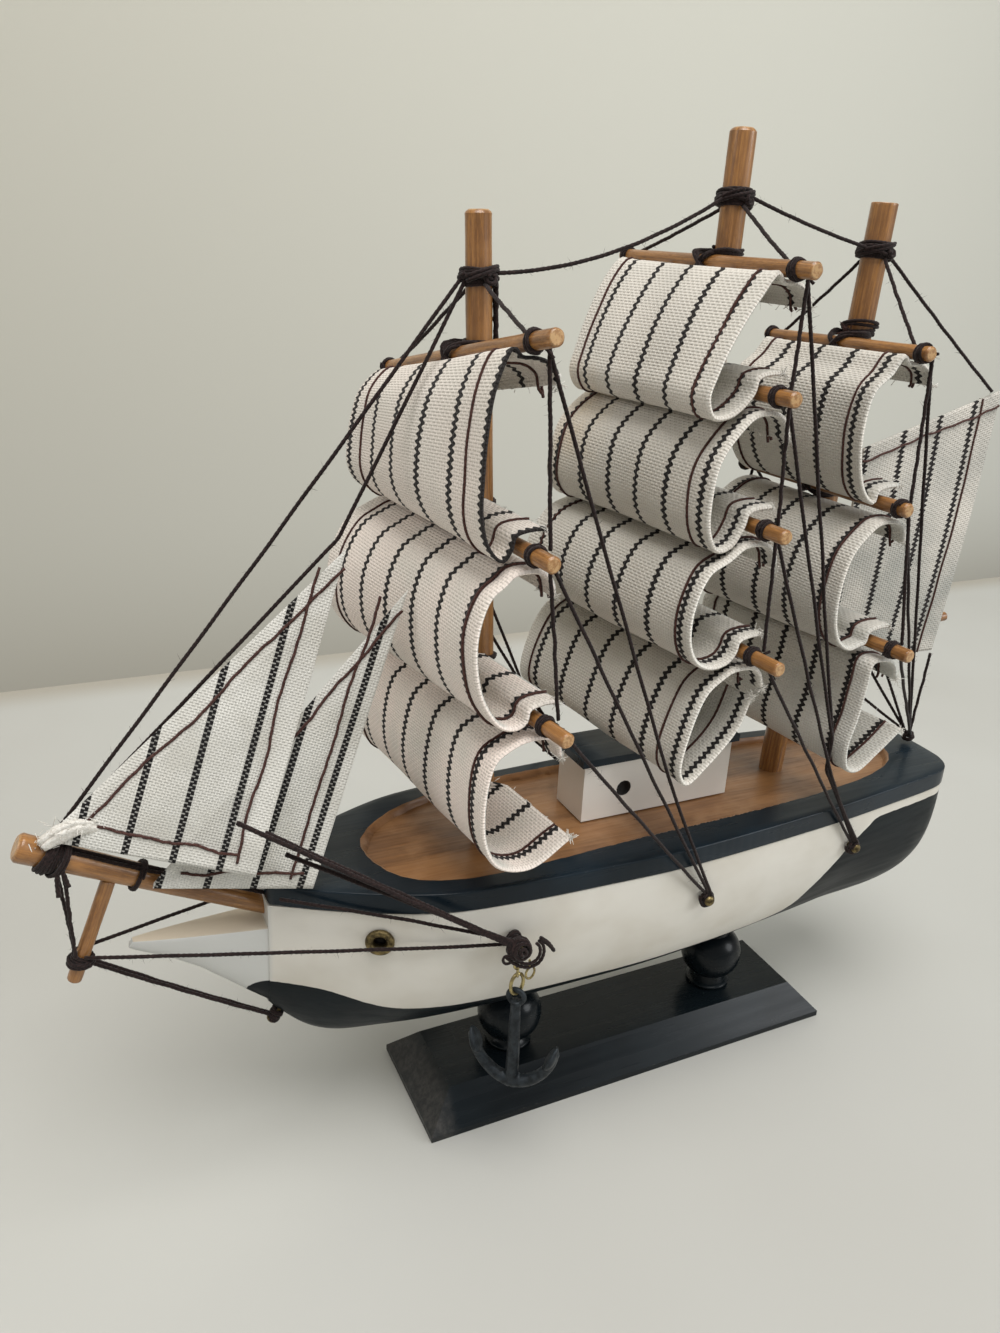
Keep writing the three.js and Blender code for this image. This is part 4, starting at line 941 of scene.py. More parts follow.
def cut_eyelet_holes(hull):
    """Cuts the eyelets' bores into the hull's sides."""
    shape = Shape()
    for sign in SIDES.values():
        at, facing = eyelet_place(sign)
        shape.add(*turned([(1.9, -3.4), (1.9, 2)], 24, at, facing))
    cutter = shape.build("hole_cutter", "bore")
    cut = hull.modifiers.new("holes", "BOOLEAN")
    cut.object, cut.operation, cut.solver = cutter, "DIFFERENCE", "EXACT"
    bpy.context.view_layer.update()
    cut_mesh = bpy.data.meshes.new_from_object(hull.evaluated_get(bpy.context.evaluated_depsgraph_get()))
    hull.modifiers.clear()
    hull.data = cut_mesh
    bpy.data.objects.remove(cutter)


def outline_loop(points, count, centre):
    """Points of a closed outline, one for each of `count` directions from the centre."""
    d = np.asarray(points, float)[:, :2] - centre
    angle = np.unwrap(np.arctan2(d[:, 1], d[:, 0]))
    if angle[-1] < angle[0]:
        angle, d = angle[::-1], d[::-1]
    reach = np.linalg.norm(d, axis=1)
    ring = np.arange(count) * 2 * math.pi / count - math.pi
    turns = np.concatenate([angle - 2 * math.pi, angle, angle + 2 * math.pi])
    size = np.interp(ring, turns, np.concatenate([reach, reach, reach]))
    return np.stack([np.cos(ring) * size, np.sin(ring) * size], axis=1) + centre


WELL_CENTRE = np.array([6.0, 2.0])
LOOP = 420


def well_loop(rng_seed, rough):
    """The deck well's carved outline, with its inward directions."""
    curve = spline([(x, y, 0) for x, y in WELL], steps=16, closed=True)
    loop = outline_loop(curve, LOOP, WELL_CENTRE)
    rng = random.Random(rng_seed)
    wobble = sum(
        rng.uniform(0.3, 1) * np.sin(np.arange(LOOP) * 2 * math.pi * k / LOOP + rng.uniform(0, 7))
        for k in (23, 41, 67, 97, 131)
    )
    inwards = WELL_CENTRE - loop
    inwards /= np.linalg.norm(inwards, axis=1)[:, None]
    return loop + inwards * (wobble * rough)[:, None], inwards


def rail_loop():
    """The rail's outer outline, just proud of the hull."""
    xs = np.concatenate(
        [np.linspace(BOW_X + 0.25, -80, 20), np.linspace(-78, 84, 60), np.linspace(85, STERN_X - 0.05, 24)]
    )
    half = breadth_at(xs) + 0.25
    side = np.stack([xs, half], axis=1)
    return outline_loop(np.vstack([side, side[::-1] * (1, -1)]), LOOP, WELL_CENTRE)


def ring_at(loop, z):
    """The loop's points at a height."""
    return np.column_stack([loop, np.full(len(loop), float(z))])


def rail_piece():
    """The board round the deck: an upright outer edge, a soft top corner and a carved well."""
    outer = rail_loop()
    inner, inwards = well_loop(5, 0.1)
    to_middle = WELL_CENTRE - outer
    to_middle /= np.linalg.norm(to_middle, axis=1)[:, None]
    rings = [ring_at(inner, HULL_TOP + 0.35), ring_at(outer, HULL_TOP + 0.35)]
    for angle in np.radians([0, 30, 60, 90]):
        inset = 0.45 * (1 - math.cos(angle))
        rings.append(ring_at(outer + to_middle * inset, RAIL_TOP - 0.45 + 0.45 * math.sin(angle)))
    for share in (0.25, 0.6, 0.93, 1.0):
        rings.append(ring_at(outer * (1 - share) + (inner - inwards * 0.4) * share, RAIL_TOP))
    board = Shape().add(np.vstack(rings), ring_faces(len(rings), LOOP))
    rail = board.build("rail_top", "navy_paint", sharp=50)
    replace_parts(rail, "rail_board")
    carved, _ = well_loop(5, 0.1)
    rough, _ = well_loop(11, 0.16)
    lip = [
        ring_at(inner - inwards * 0.4, RAIL_TOP), ring_at(carved - inwards * 0.05, RAIL_TOP - 0.15),
        ring_at(rough + inwards * 0.5, RAIL_TOP - 0.8), ring_at(rough + inwards * 1.3, DECK_TOP - 0.1),
        ring_at(rough + inwards * 0.6, DECK_TOP - 0.5), ring_at(inner, HULL_TOP + 0.35),
    ]
    Shape().add(np.vstack(lip), ring_faces(len(lip), LOOP)).build("well_edge", "deck_wood", sharp=60)


def deck_piece():
    """The sunken deck board inside the well."""
    loop, inwards = well_loop(5, 0.0)
    top = loop + inwards * 0.3
    rings = [ring_at(top, HULL_TOP + 0.35), ring_at(top, DECK_TOP)]
    for share in (0.5, 0.98):
        rings.append(ring_at(top * (1 - share) + WELL_CENTRE * share, DECK_TOP))
    shape = Shape().add(np.vstack(rings), capped_faces(len(rings), LOOP))
    deck = shape.build("deck_floor", "deck_wood", sharp=40)
    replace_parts(deck, "deck_board")


# ---------------------------------------------------------------- spars
def stick(name, start, end, radii, rng, chamfer=0.4, sides=24):
    """A whittled stick: not quite round, its ends trimmed."""
    start, end = np.array(start, float), np.array(end, float)
    length = np.linalg.norm(end - start)
    trim = np.array([0, chamfer * 0.5, chamfer])
    middle = np.linspace(chamfer + 0.5, length - chamfer - 0.5, max(8, int(length / 4)))
    at = np.concatenate([trim, middle, length - trim[::-1]])
    size = np.interp(at, [0, length], radii)
    size[[0, -1]] -= chamfer
    size[[1, -2]] -= chamfer * 0.35
    line = start + (end - start) * (at / length)[:, None]
    angle = np.arange(sides) * 2 * math.pi / sides
    phase = rng.uniform(0, 6)
    out_of_round = 1 + 0.018 * np.cos(2 * angle + phase) + 0.012 * np.cos(5 * angle + 2 * phase)
    knobs = 1 + wander(rng_numbers(rng), len(at), 3, 0.02)
    spread = size[:, None] * out_of_round[None, :] * knobs[:, None]
    points, faces = around_line(line, sides, spread), capped_faces(len(line), sides)
    run = rng.uniform(0, 900)
    uv = np.stack(np.broadcast_arrays(angle[None, :] * radii[0] + run, at[:, None] + run), axis=2)
    piece = Shape().add(points, faces, uv).build(name + "_stick", "honey_wood", sharp=32)
    cut = piece.data.attributes.new("cut_end", "FLOAT", "POINT")
    cut.data.foreach_set("value", np.repeat(np.isin(at, (0, length)), sides).astype(np.float32))
    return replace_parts(piece, name)


def rng_numbers(rng):
    """A numpy generator seeded by the other kind's next draw."""
    return np.random.default_rng(rng.randrange(1 << 30))


def spar_pieces():
    """The masts, the yards, the bowsprit with its striker, and the boom."""
    rng = random.Random(3)
    for name, mast in MASTS.items():
        radii = (mast["radius"] + 0.2, mast["radius"])
        foot, top = mast_point(name, 71), mast_point(name, mast["top"])
        stick("mast_" + name, foot, top, radii, rng, 0.2 if name == "mizzen" else 0.7, 28)
    for name, yard in YARDS.items():
        stick("yard_" + name, yard_point(name, -yard[2]), yard_point(name, yard[2]), YARD_RADII, rng)
    stick("bowsprit", SPRIT_BASE, SPRIT_TIP, SPRIT_RADII, rng, 0.7)
    into_sprit = STRIKER_TOP - unit(STRIKER_FOOT - STRIKER_TOP) * 1.6
    stick("dolphin_striker", into_sprit, STRIKER_FOOT, (STRIKER_RADIUS,) * 2, rng, 0.5)
    stick("boom", BOOM_FOOT, BOOM_END, (1.3, 1.3), rng)


# ---------------------------------------------------------------- cloth
def sail_profile(sail, reach):
    """The side profile at one edge of a sail, from the head flap to the foot."""
    head = yard_point(sail["head"], reach)
    foot = yard_point(sail["foot"], reach) if sail.get("foot") else None
    drop = head[2] - foot[2] if foot is not None else sail["depth"]
    full = sail["full"] if reach > 0 else 1
    flap = TOP_SAIL_HEAD if sail["head"].endswith("_1") else SAIL_HEAD
    points = [(head[0] + x, head[1], head[2] + z) for x, z in flap]
    for x, part in sail["body"]:
        drift = (foot[0] - head[0]) * part if foot is not None else 0
        points.append((head[0] + drift + (x * full if x < 0 else x), head[1], head[2] - part * drop))
    if foot is not None:
        points += [(foot[0] + x, head[1], foot[2] + z) for x, z in SAIL_TAIL]
    return spline(points, 10)


def edge_steps(width, hem):
    """Distances from one side edge to the other, close together at the edges and the hems."""
    rim = [0, 0.05, 0.15, 0.32, 0.6, 1.1, 1.8, 2.8] + ([hem - 0.4, hem + 0.3] if hem else [4.4])
    inner = np.linspace(rim[-1] + 1.8, width - rim[-1] - 1.8, 22)
    return np.concatenate([rim, inner, [width - r for r in reversed(rim)]])


def cloth_thickness(steps, width, hem):
    """Full thickness of the cloth across its width: doubled in the hems, round at the edges."""
    near = np.minimum(steps, width - steps)
    rolled = CLOTH * 1.3 + (HEM - CLOTH * 1.3) * np.exp(-(((near - 0.9) / 1.3) ** 2))
    flat = np.where(near < (hem or 0) + 0.1, rolled, CLOTH)
    tip = np.clip(near / (0.6 if hem else 0.35), 0, 1)
    return flat * np.sqrt(np.clip(1 - (1 - tip) ** 2, 0.0, 1))


def grid_normals(grid):
    """The direction square to a surface, at each of its points."""
    du, dv = np.gradient(grid, axis=1), np.gradient(grid, axis=0)
    normal = np.cross(du, dv)
    return normal / np.maximum(np.linalg.norm(normal, axis=2), 1e-9)[:, :, None]


def press_round_mast(grid, name):
    """Cloth that would pass through the mast lies against its front instead."""
    mast = MASTS[name]
    axis_x, axis_y, _ = mast_point(name, grid[:, :, 2])
    aside = np.abs(grid[:, :, 1] - axis_y)
    reach = mast["radius"] + 0.75
    front = axis_x - np.sqrt(np.clip(reach**2 - aside**2, 0, None))
    limit = np.where(aside < reach, front, axis_x + (aside - reach) * 1.6)
    soft = np.minimum(grid[:, :, 0], limit)
    grid[:, :, 0] = np.where(grid[:, :, 2] < mast["top"], soft, grid[:, :, 0])


def cloth_grid(name, grid, u, v, thickness, finish):
    """A closed sheet either side of a grid of points, with cloth coordinates in u and v."""
    half = (thickness / 2)[None, :, None] * grid_normals(grid)
    rows, columns = grid.shape[:2]
    front, back = grid + half, grid - half
    ring = np.concatenate([front, back[:, ::-1]], axis=1)
    count = columns * 2
    faces = ring_faces(rows, count)
    for i in range(columns - 1):
        top = (i, count - 1 - i, count - 2 - i, i + 1)
        faces.append(top)
        faces.append(tuple(reversed([(rows - 1) * count + k for k in top])))
    uv = np.stack(np.broadcast_arrays(u[None, :], v if v.ndim == 2 else v[:, None]), axis=2)
    uv = np.concatenate([uv, uv[:, ::-1]], axis=1)
    return Shape().add(ring, faces, uv).build(name, finish), front, back


def seam_line(surface, other, steps, distance, rng, lift=0.12):
    """A line of stitching along a sheet, a given distance in from its edge."""
    column = int(np.argmin(np.abs(steps - distance)))
    share = (distance - steps[column]) / max(abs(steps[column + 1] - steps[column]), 1e-6)
    line = surface[:, column] + (surface[:, column + 1] - surface[:, column]) * share
    across = surface[:, column + 1] - surface[:, column]
    across /= np.linalg.norm(across, axis=1)[:, None]
    out = surface[:, column] - other[:, column]
    out /= np.maximum(np.linalg.norm(out, axis=1), 1e-9)[:, None]
    sway = wander(rng, len(line), 1.6, 0.35)
    return line + across * sway[:, None] + out * lift


def loose_end(line, rng):
    """The line with a short free end of thread at its start."""
    back = unit(line[0] - line[2])
    curl = rng.normal(size=3) * 0.5
    end = [line[0] + back * k * 0.8 + curl * k * k * 0.25 for k in (1.6, 1.1, 0.6)]
    return np.vstack([end, line])


def frayed_edge(shape, line, count, length, rng):
    """Loose cotton fibres along a cut edge, thicker at its first corner."""
    for _ in range(count):
        share = min(0.98, rng.beta(0.5, 1.6))
        i = int(share * (len(line) - 1))
        along = unit(line[min(i + 1, len(line) - 1)] - line[max(i - 1, 0)])
        out = unit(rng.normal(size=3) + 0.4 * np.array([0.3, 0, -0.6]))
        start = line[i] + rng.normal(size=3) * 0.15
        bend = np.cross(out, along) * rng.uniform(-0.6, 0.6)
        size = length * rng.uniform(0.35, 1)
        t = np.linspace(0, 1, 5)[:, None]
        shape.add(*tube(start + out * size * t + bend * size * t**2, rng.uniform(0.05, 0.09), 4))


def sail_grid(sail, steps, width, rng):
    """A square sail's middle surface, a little uneven and pressed round its mast; and its length."""
    port = spaced(sail_profile(sail, -sail["port"]), count=SAIL_ROWS)
    starboard = spaced(sail_profile(sail, sail["starboard"]), count=SAIL_ROWS)
    across = (steps / width)[None, :, None]
    grid = port[:, None] * (1 - across) + starboard[:, None] * across
    down = np.linspace(0, 1, SAIL_ROWS)
    for _ in range(4):
        sway = np.sin(2 * math.pi * (rng.uniform(0.6, 2.2) * steps / width + rng.random()))
        roll = np.sin(math.pi * down) * np.sin(2 * math.pi * (rng.uniform(0.5, 1.5) * down + rng.random()))
        grid[:, :, 0] += 0.28 * roll[:, None] * sway[None, :]
    press_round_mast(grid, YARDS[sail["head"]][0])
    return grid, run_along(port)[-1]


def square_sail(name, sail, seed):
    """One curved sail with its two seams on both faces and the fray of its head and foot."""
    rng = np.random.default_rng(seed)
    width = sail["port"] + sail["starboard"]
    hem = min(max(sail["seams"]), 5.5) if sail["hem"] else 0
    steps = edge_steps(width, hem)
    grid, length = sail_grid(sail, steps, width, rng)
    v = np.linspace(0, 1, SAIL_ROWS) * length + seed * 3.7
    u = (steps - sail["stripe"]) * STRIPE_PITCH / sail.get("pitch", STRIPE_PITCH)
    thickness = cloth_thickness(steps, width, hem)
    piece, front, back = cloth_grid("canvas_" + name, grid, u, v, thickness, "canvas")
    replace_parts(piece, "sail_" + name)
    threads, frays = Shape(), Shape()
    for distance in (sail["seams"][0], width - sail["seams"][1]):
        for surface, other in ((front, back), (back, front)):
            line = seam_line(surface, other, steps, distance, rng)
            threads.add(*sewing_tube(loose_end(line, rng)))
    stitching = threads.build("stitching_" + name, "brown_thread")
    for row in (0, -1):
        frayed_edge(frays, grid[row], 46, 1.9, rng)
    frays.build("fray_" + name, "fray")


def jib_bulge(s, t):
    """How far a jib stands out of its flat triangle; s runs leech to luff, t foot to head."""
    belly = 4 * s * (1 - s) * 4 * t * (1 - t)
    ripple = np.sin(2 * math.pi * (1.3 * s + 0.8 * t + 0.3)) * 0.35
    return belly * 0.7 + ripple * np.sin(math.pi * np.clip(t, 0, 1))


def jib_piece(name, corners, first_stripe):
    """A three-cornered gauze sail; its columns run parallel to the leech."""
    tack, clew, head = corners
    leech = unit(head - clew)
    depth = np.linalg.norm(np.cross(tack - clew, leech))
    away = np.concatenate([[0.001, 0.3, 0.8], np.linspace(2, depth - 2, 46), [depth - 0.6]])
    rows = 60
    columns = []
    for d in away:
        low = clew + (tack - clew) * (d / depth)
        high = head + (tack - head) * (d / depth)
        columns.append(low + (high - low) * np.linspace(0, 1, rows)[:, None])
    grid = np.stack(columns, axis=1)
    normal = unit(np.cross(head - clew, tack - clew))
    if normal[1] > 0:
        normal = -normal
    s, t = (away / depth)[None, :], np.linspace(0, 1, rows)[:, None]
    grid += jib_bulge(s, t)[:, :, None] * normal
    u = away - first_stripe
    span = np.linalg.norm(grid[-1] - grid[0], axis=1)
    origin = (grid[0] - clew) @ leech
    v = origin[None, :] + t * span[None, :]
    thickness = np.full(len(away), GAUZE)
    piece, front, back = cloth_grid(name + "_gauze", grid, u, v, thickness, "gauze")
    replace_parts(piece, name)
    fill_doubled(piece, np.concatenate([front, back[:, ::-1]], axis=1), tack, clew, head)
    return piece, normal


def edge_distance(points, a, b):
    """How far points lie from the line through a and b."""
    along = unit(b - a)
    return np.linalg.norm(np.cross(points - a, along), axis=-1)


def fill_doubled(piece, ring, tack, clew, head):
    """Marks the hems, where the gauze lies double."""
    points = ring.reshape(-1, 3)
    near = np.minimum.reduce(
        [edge_distance(points, a, b) for a, b in ((tack, head), (tack, clew), (clew, head))]
    )
    marks = piece.data.attributes.new("doubled", "FLOAT", "POINT")
    marks.data.foreach_set("value", np.clip((JIB_HEM + 0.3 - near) / 0.6, 0, 0.97).astype(np.float32))


def jib_seams(name, corners, normal, seams, seed):
    """Seams just inside the three edges, nearly straight, that cross near the corners."""
    rng = np.random.default_rng(seed)
    tack, clew, head = corners
    leech = unit(head - clew)
    depth = np.linalg.norm(np.cross(tack - clew, leech))
    shape = Shape()
    for (i, j), inset, trims in seams:
        a, b = corners[i], corners[j]
        along = unit(b - a)
        inwards = corners.mean(axis=0) - a
        inwards = unit(inwards - inwards.dot(along) * along)
        line = spaced(np.array([a + along * trims[0], b - along * trims[1]]) + inwards * inset, 0.6)
        line = line + inwards * (wander(rng, len(line), 1.1, 0.6) + wander(rng, len(line), 6, 0.12))[:, None]
        flat = line - clew
        s = np.linalg.norm(np.cross(flat, leech), axis=1) / depth
        low = clew + (tack - clew) * s[:, None]
        t = ((line - low) @ leech) / np.maximum(np.linalg.norm(head - clew) * (1 - s), 1.0)
        for lift in (0.22, -0.22):
            line_up = line + normal * (jib_bulge(s, np.clip(t, 0, 1)) + lift)[:, None]
            shape.add(*tube(line_up, 0.34, 6, 2, 1.9))
    return shape.build(name, "brown_thread")


def spanker_piece():
    """The fore-and-aft sail behind the mizzen mast."""
    rng = np.random.default_rng(40)
    tack, clew, peak, throat = (np.array(c, float) for c in SPANKER)
    width = SPANKER_WIDTH
    rim = [0, 0.06, 0.2, 0.45, 1.5, 3, 4.6, 5.4]
    steps = np.concatenate([rim, np.linspace(7.5, width - 2, 20), [width - 0.4, width]])
    rows = 90
    t = np.linspace(0, 1, rows)[:, None, None]
    s = (steps / width)[None, :, None]
    low = clew + (tack - clew) * s
    high = peak + (throat - peak) * s
    grid = low * (1 - t) + high * t
    curl = np.sin(math.pi * t[:, :, 0]) * (1.2 * np.sin(math.pi * s[:, :, 0]) + 0.8 * (1 - s[:, :, 0]) ** 3)
    grid[:, :, 1] -= curl
    v = np.linspace(0, SPANKER_HEIGHT, rows)
    rounded_edge = np.sqrt(np.clip(1 - (1 - np.clip(steps / 0.45, 0, 1)) ** 2, 0, 1))
    thickness = np.where(steps < 5, CLOTH * 1.15, CLOTH) * rounded_edge
    piece, front, back = cloth_grid("spanker_canvas", grid, steps - 8.6, v, thickness, "canvas")
    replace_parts(piece, "spanker")
    shape = Shape()
    for surface, other in ((front, back), (back, front)):
        shape.add(*sewing_tube(seam_line(surface, other, steps, 6.4, rng), 0.32))
        row = rows - 6
        across = surface[row] + (surface[row] - other[row]) * 0.35
        across[:, 2] += wander(rng, len(steps), 3, 0.5)
        shape.add(*sewing_tube(across, 0.32))
    stitching = shape.build("stitching_spanker", "brown_thread")


def cloth_pieces():
    """All the sails, each with its own seed."""
    for seed, (name, sail) in enumerate(SAILS.items(), 1):
        square_sail(name, sail, seed)
    for seed, (name, jib) in enumerate(JIBS.items(), 31):
        corners = np.array(jib["corners"], float)
        piece, normal = jib_piece(name, corners, jib["stripe"])
        stitching = jib_seams("stitching_" + name, corners, normal, jib["seams"], seed)
    spanker_piece()


# ---------------------------------------------------------------- rigging
ROPE = 0.44  # the thread's radius
RIGGING_NODES = {
    "fore": ("rigging_fore_port", "rigging_fore_starboard"),
    "main": ("rigging_main_port", "rigging_main_starboard"),
    "mizzen": ("rigging_stern",),
}
HAIRS_PER_POINT = 0.45
HAIRS = []


def note_hairs(line, rng):
    """Remembers where loose fibres stand out of a thread."""
    for _ in range(int(len(line) * HAIRS_PER_POINT)):
        i = rng.integers(0, len(line) - 1)
        HAIRS.append((line[i] + (line[i + 1] - line[i]) * rng.random(), unit(line[i + 1] - line[i])))


def rope_line(points, sag, rng):
    """A nearly straight thread through the points, with a slight sag and a little waviness."""
    points = [np.array(p, float) for p in points]
    legs = []
    for a, b in zip(points[:-1], points[1:]):
        t = np.linspace(0, 1, max(3, int(np.linalg.norm(b - a) / 3)))[:, None]
        leg = a + (b - a) * t
        leg[:, 2] -= (4 * sag * t * (1 - t))[:, 0]
        legs.append(leg if not legs else leg[1:])
    line = spaced(spline(np.vstack(legs), 4), 0.5)
    ease = np.sin(np.linspace(0, math.pi, len(line))) ** 0.5
    line[:, 0] += wander(rng, len(line), 2.5, 0.12) * ease
    line[:, 1] += wander(rng, len(line), 2.5, 0.12) * ease
    return line


def rope_piece(name, points, sag=0.3, radius=ROPE):
    """One thread of the rigging."""
    rng = np.random.default_rng(sum(map(ord, name)))
    line = rope_line(points, sag, rng)
    piece = Shape().add(*rope_tube(line, radius)).build("rope_" + name, "thread")
    note_hairs(line, rng)


def wound(shape, centre, axis, radius, turns, width, rng, thread_radius=0.45, loose=0.12):
    """Turns of thread wound round a stick, neither quite even nor quite tight."""
    axis = unit(np.array(axis, float))
    side = unit(np.cross(axis, (0, 0, 1) if abs(axis[2]) < 0.8 else (0, 1, 0)))
    up = np.cross(axis, side)
    steps = max(12, int(turns * 22))
    t = np.linspace(0, turns, steps)
    start = rng.random()
    angle = 2 * math.pi * (t + start)
    size = radius + thread_radius * 0.85 + wander(rng, steps, turns, loose) + loose
    along = (t / turns - 0.5) * width + wander(rng, steps, turns * 0.7, 0.35)
    out = (np.cos(angle) * size)[:, None] * side + (np.sin(angle) * size)[:, None] * up
    shape.add(*thread_tube(centre + out + along[:, None] * axis, thread_radius))


def cross_lashing(shape, yard, rng):
    """Turns that bind a yard to its mast, crossing on the yard's front."""
    mast = YARDS[yard][0]
    side = mast_point(mast, YARDS[yard][1])[1]
    centre = yard_point(yard, side)
    deep, wide, front = YARD_STEP + MASTS[mast]["radius"] + 0.4, MASTS[mast]["radius"] + 0.45, 2.0
    quarter = [
        (deep, 0, 2.0), (YARD_STEP, -wide, 1.9), (1.6, -wide + 0.1, 2.0), (-front * 0.7, -1.7, front * 0.75),
        (-front, 0, 0), (-front * 0.7, 1.7, -front * 0.75), (1.6, wide - 0.1, -2.0), (YARD_STEP, wide, -1.9),
    ]
    turned_over = [(x, -y if abs(y) > 0 else 0, z) for x, y, z in reversed(quarter[1:])]
    path = quarter + [(deep, 0, -2.0)] + [(x, y, z) for x, y, z in turned_over]
    for k in range(4):
        grow = 1 + 0.05 * k
        jitter = rng.normal(size=(len(path), 3)) * 0.22
        loop = np.array(path) * (1, grow, grow) + jitter + (rng.uniform(-0.1, 0.1) - 0.12 * k, 0, 0)
        line = spline(centre + loop, 8, closed=True)
        shape.add(*thread_tube(np.vstack([line, line[:2]]), 0.4))
    for dz in (-2.4, 2.3):
        at = mast_point(mast, YARDS[yard][1] + dz)
        wound(shape, at, (0, 0, 1), MASTS[mast]["radius"], 2, 1.0, rng, 0.4, 0.06)


def tail(shape, start, direction, length, curl=0.6, radius=0.42):
    """A short loose end of thread."""
    direction = unit(np.array(direction, float))
    aside = unit(np.cross(direction, (0.3, 0.2, 1)))
    t = np.linspace(0, 1, 7)[:, None]
    line = np.array(start, float) + direction * length * t + aside * (curl * t**2) + (0, 0, -0.5) * t**2
    shape.add(*thread_tube(spline(line, 4), radius, 0.4))


def yard_end_lashing(shape, yard, sign, rng):
    """Tight turns round a yard outside the sail, and the cut ends of their thread."""
    reach = tie_reach(yard, sign)
    at = yard_point(yard, reach)
    along = yard_point(yard, reach + 1) - at
    radius = float(np.interp(reach, (-YARDS[yard][2], YARDS[yard][2]), YARD_RADII))
    wound(shape, at, along, radius - 0.1, 4, 1.9, rng, 0.32, 0.04)
    wound(shape, at, unit(along + rng.normal(size=3) * 0.12), radius + 0.1, 2, 1.0, rng, 0.32, 0.05)
    knot = at + (1.6, 0, -0.6)
    wound(shape, knot, unit(rng.normal(size=3)), 0.4, 2, 0.5, rng, 0.34, 0.08)
    way = (0.7, rng.uniform(-1, 1), rng.uniform(-0.9, 0.5))
    tail(shape, knot, way, rng.uniform(2.0, 3.2), radius=0.36)


def mast_head_lashing(shape, name, rng):
    """The thick winding near the top of a mast, with its knot."""
    z = MAST_HEADS[name]
    at, along = mast_point(name, z), unit(mast_point(name, z + 1) - mast_point(name, z))
    radius = MASTS[name]["radius"]
    wound(shape, at, along, radius, 6, 3.3, rng, 0.42, 0.06)
    wound(shape, at - along * 0.3, along + (0.28, 0.12, 0), radius + 0.55, 3, 1.6, rng, 0.42, 0.1)
    wound(shape, at + along * 0.3, along + (-0.2, 0.2, 0), radius + 0.7, 2, 1.0, rng, 0.42, 0.15)
    wound(shape, at + (1.0, -radius - 0.9, -0.4), (0.4, -1, 0.5), 0.5, 2, 0.6, rng, 0.45, 0.1)


def tufted_rings(shape, fibres, rng):
    """Loose rings round the mizzen mast over its top yard, and a frayed brown end."""
    at = mast_point("mizzen", 189.6)
    wound(shape, at, (0.12, 0.1, 1), MASTS["mizzen"]["radius"] + 0.35, 2, 1.6, rng, 0.4, 0.35)
    knot = at + (-3.6, -0.6, -1.2)
    for _ in range(34):
        out = unit(np.array([-1.0, -0.35, 0.1]) + rng.normal(size=3) * 0.4)
        size = rng.uniform(1.2, 3.4)
        t = np.linspace(0, 1, 5)[:, None]
        droop = np.array([0, 0, -0.5]) * rng.uniform(0, 1)
        fibres.add(*tube(knot + out * size * t + droop * t**2, 0.07, 4))


def lashing_pieces():
    """The windings on the masts and on the ends of the yards."""
    rng = np.random.default_rng(77)
    heads, fibres = Shape(), Shape()
    for name in MAST_HEADS:
        mast_head_lashing(heads, name, rng)
    for yard in YARDS:
        cross_lashing(heads, yard, rng)
    tufted_rings(heads, fibres, rng)
    for k, (dx, dy) in enumerate(((3.2, -0.9), (3.35, 0.1), (3.0, -1.7))):
        top, low = mast_point("fore", MAST_HEADS["fore"] - 1), mast_point("fore", 183.2)
        line = rope_line([top + (dx, dy, 0), low + (dx + 0.1 * k, dy * 0.7, 0)], 0.0, rng)
        heads.add(*rope_tube(line, 0.42))
    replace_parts(heads.build("lashings_mast", "thread"), "rigging_mast_heads")
    fibres.build("tuft_mizzen", "brown_thread")
    for group, replaced in RIGGING_NODES.items():
        ties = Shape()
        for yard in YARDS:
            if yard.startswith(group):
                for sign in SIDES.values():
                    yard_end_lashing(ties, yard, sign, rng)
        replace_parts(ties.build("lashings_" + group, "thread"), *replaced)


def port_thread_ball(shape, rng):
    """The bundle of thread round the head of the port fore nail, its loops and its cut end."""
    head = nail_ends("fore", -1)[1] + (0, 0.15, 0)
    wound(shape, head, (0.1, -1, 0.08), 1.3, 5, 1.3, rng, 0.46, 0.12)
    wound(shape, head + (0, -0.75, 0), (0.1, -1, 0.1), 0.3, 3, 0.5, rng, 0.42, 0.12)
    wound(shape, head + (-0.3, 0.5, 0.1), (-0.25, -1, 0.2), 1.75, 4, 1.5, rng, 0.46, 0.2)
    wound(shape, head + (-0.6, 1.2, 0.2), (0.3, -1, -0.2), 1.3, 3, 1.6, rng, 0.46, 0.25)
    hook = [
        (-3.4, 0.6, -1.2), (-1.4, 0.3, -3.3), (1.6, 0.1, -4.9), (4.3, 0, -4.5), (5.5, 0, -2.3),
        (5.2, 0.1, 0.1), (4.2, 0.2, 1.4),
    ]
    inner = [
        (-2.6, 0.2, -1.0), (-0.4, 0, -2.9), (1.9, -0.1, -3.9), (3.7, -0.2, -3.3), (4.5, -0.2, -1.6),
        (4.2, -0.1, 0.2), (3.5, 0, 1.0),
    ]
    for loop in (hook, inner):
        shape.add(*thread_tube(spline([head + p for p in loop], 8), 0.42))
    for low, high, size in (((8.0, 0, -2.2), (4.5, 0.1, 2.1), 0.5), ((7.6, 0.2, -1.6), (4.2, 0.3, 1.2), 0.4)):
        line = spline([head + low, head + (np.array(low) + high) / 2 + (0.2, 0, 0.3), head + high], 6)
        shape.add(*thread_tube(line, size))
    wound(shape, head + (-2.9, 0.4, -1.9), (0.2, 1, 0.1), 0.75, 1, 0.3, rng, 0.36, 0.1)


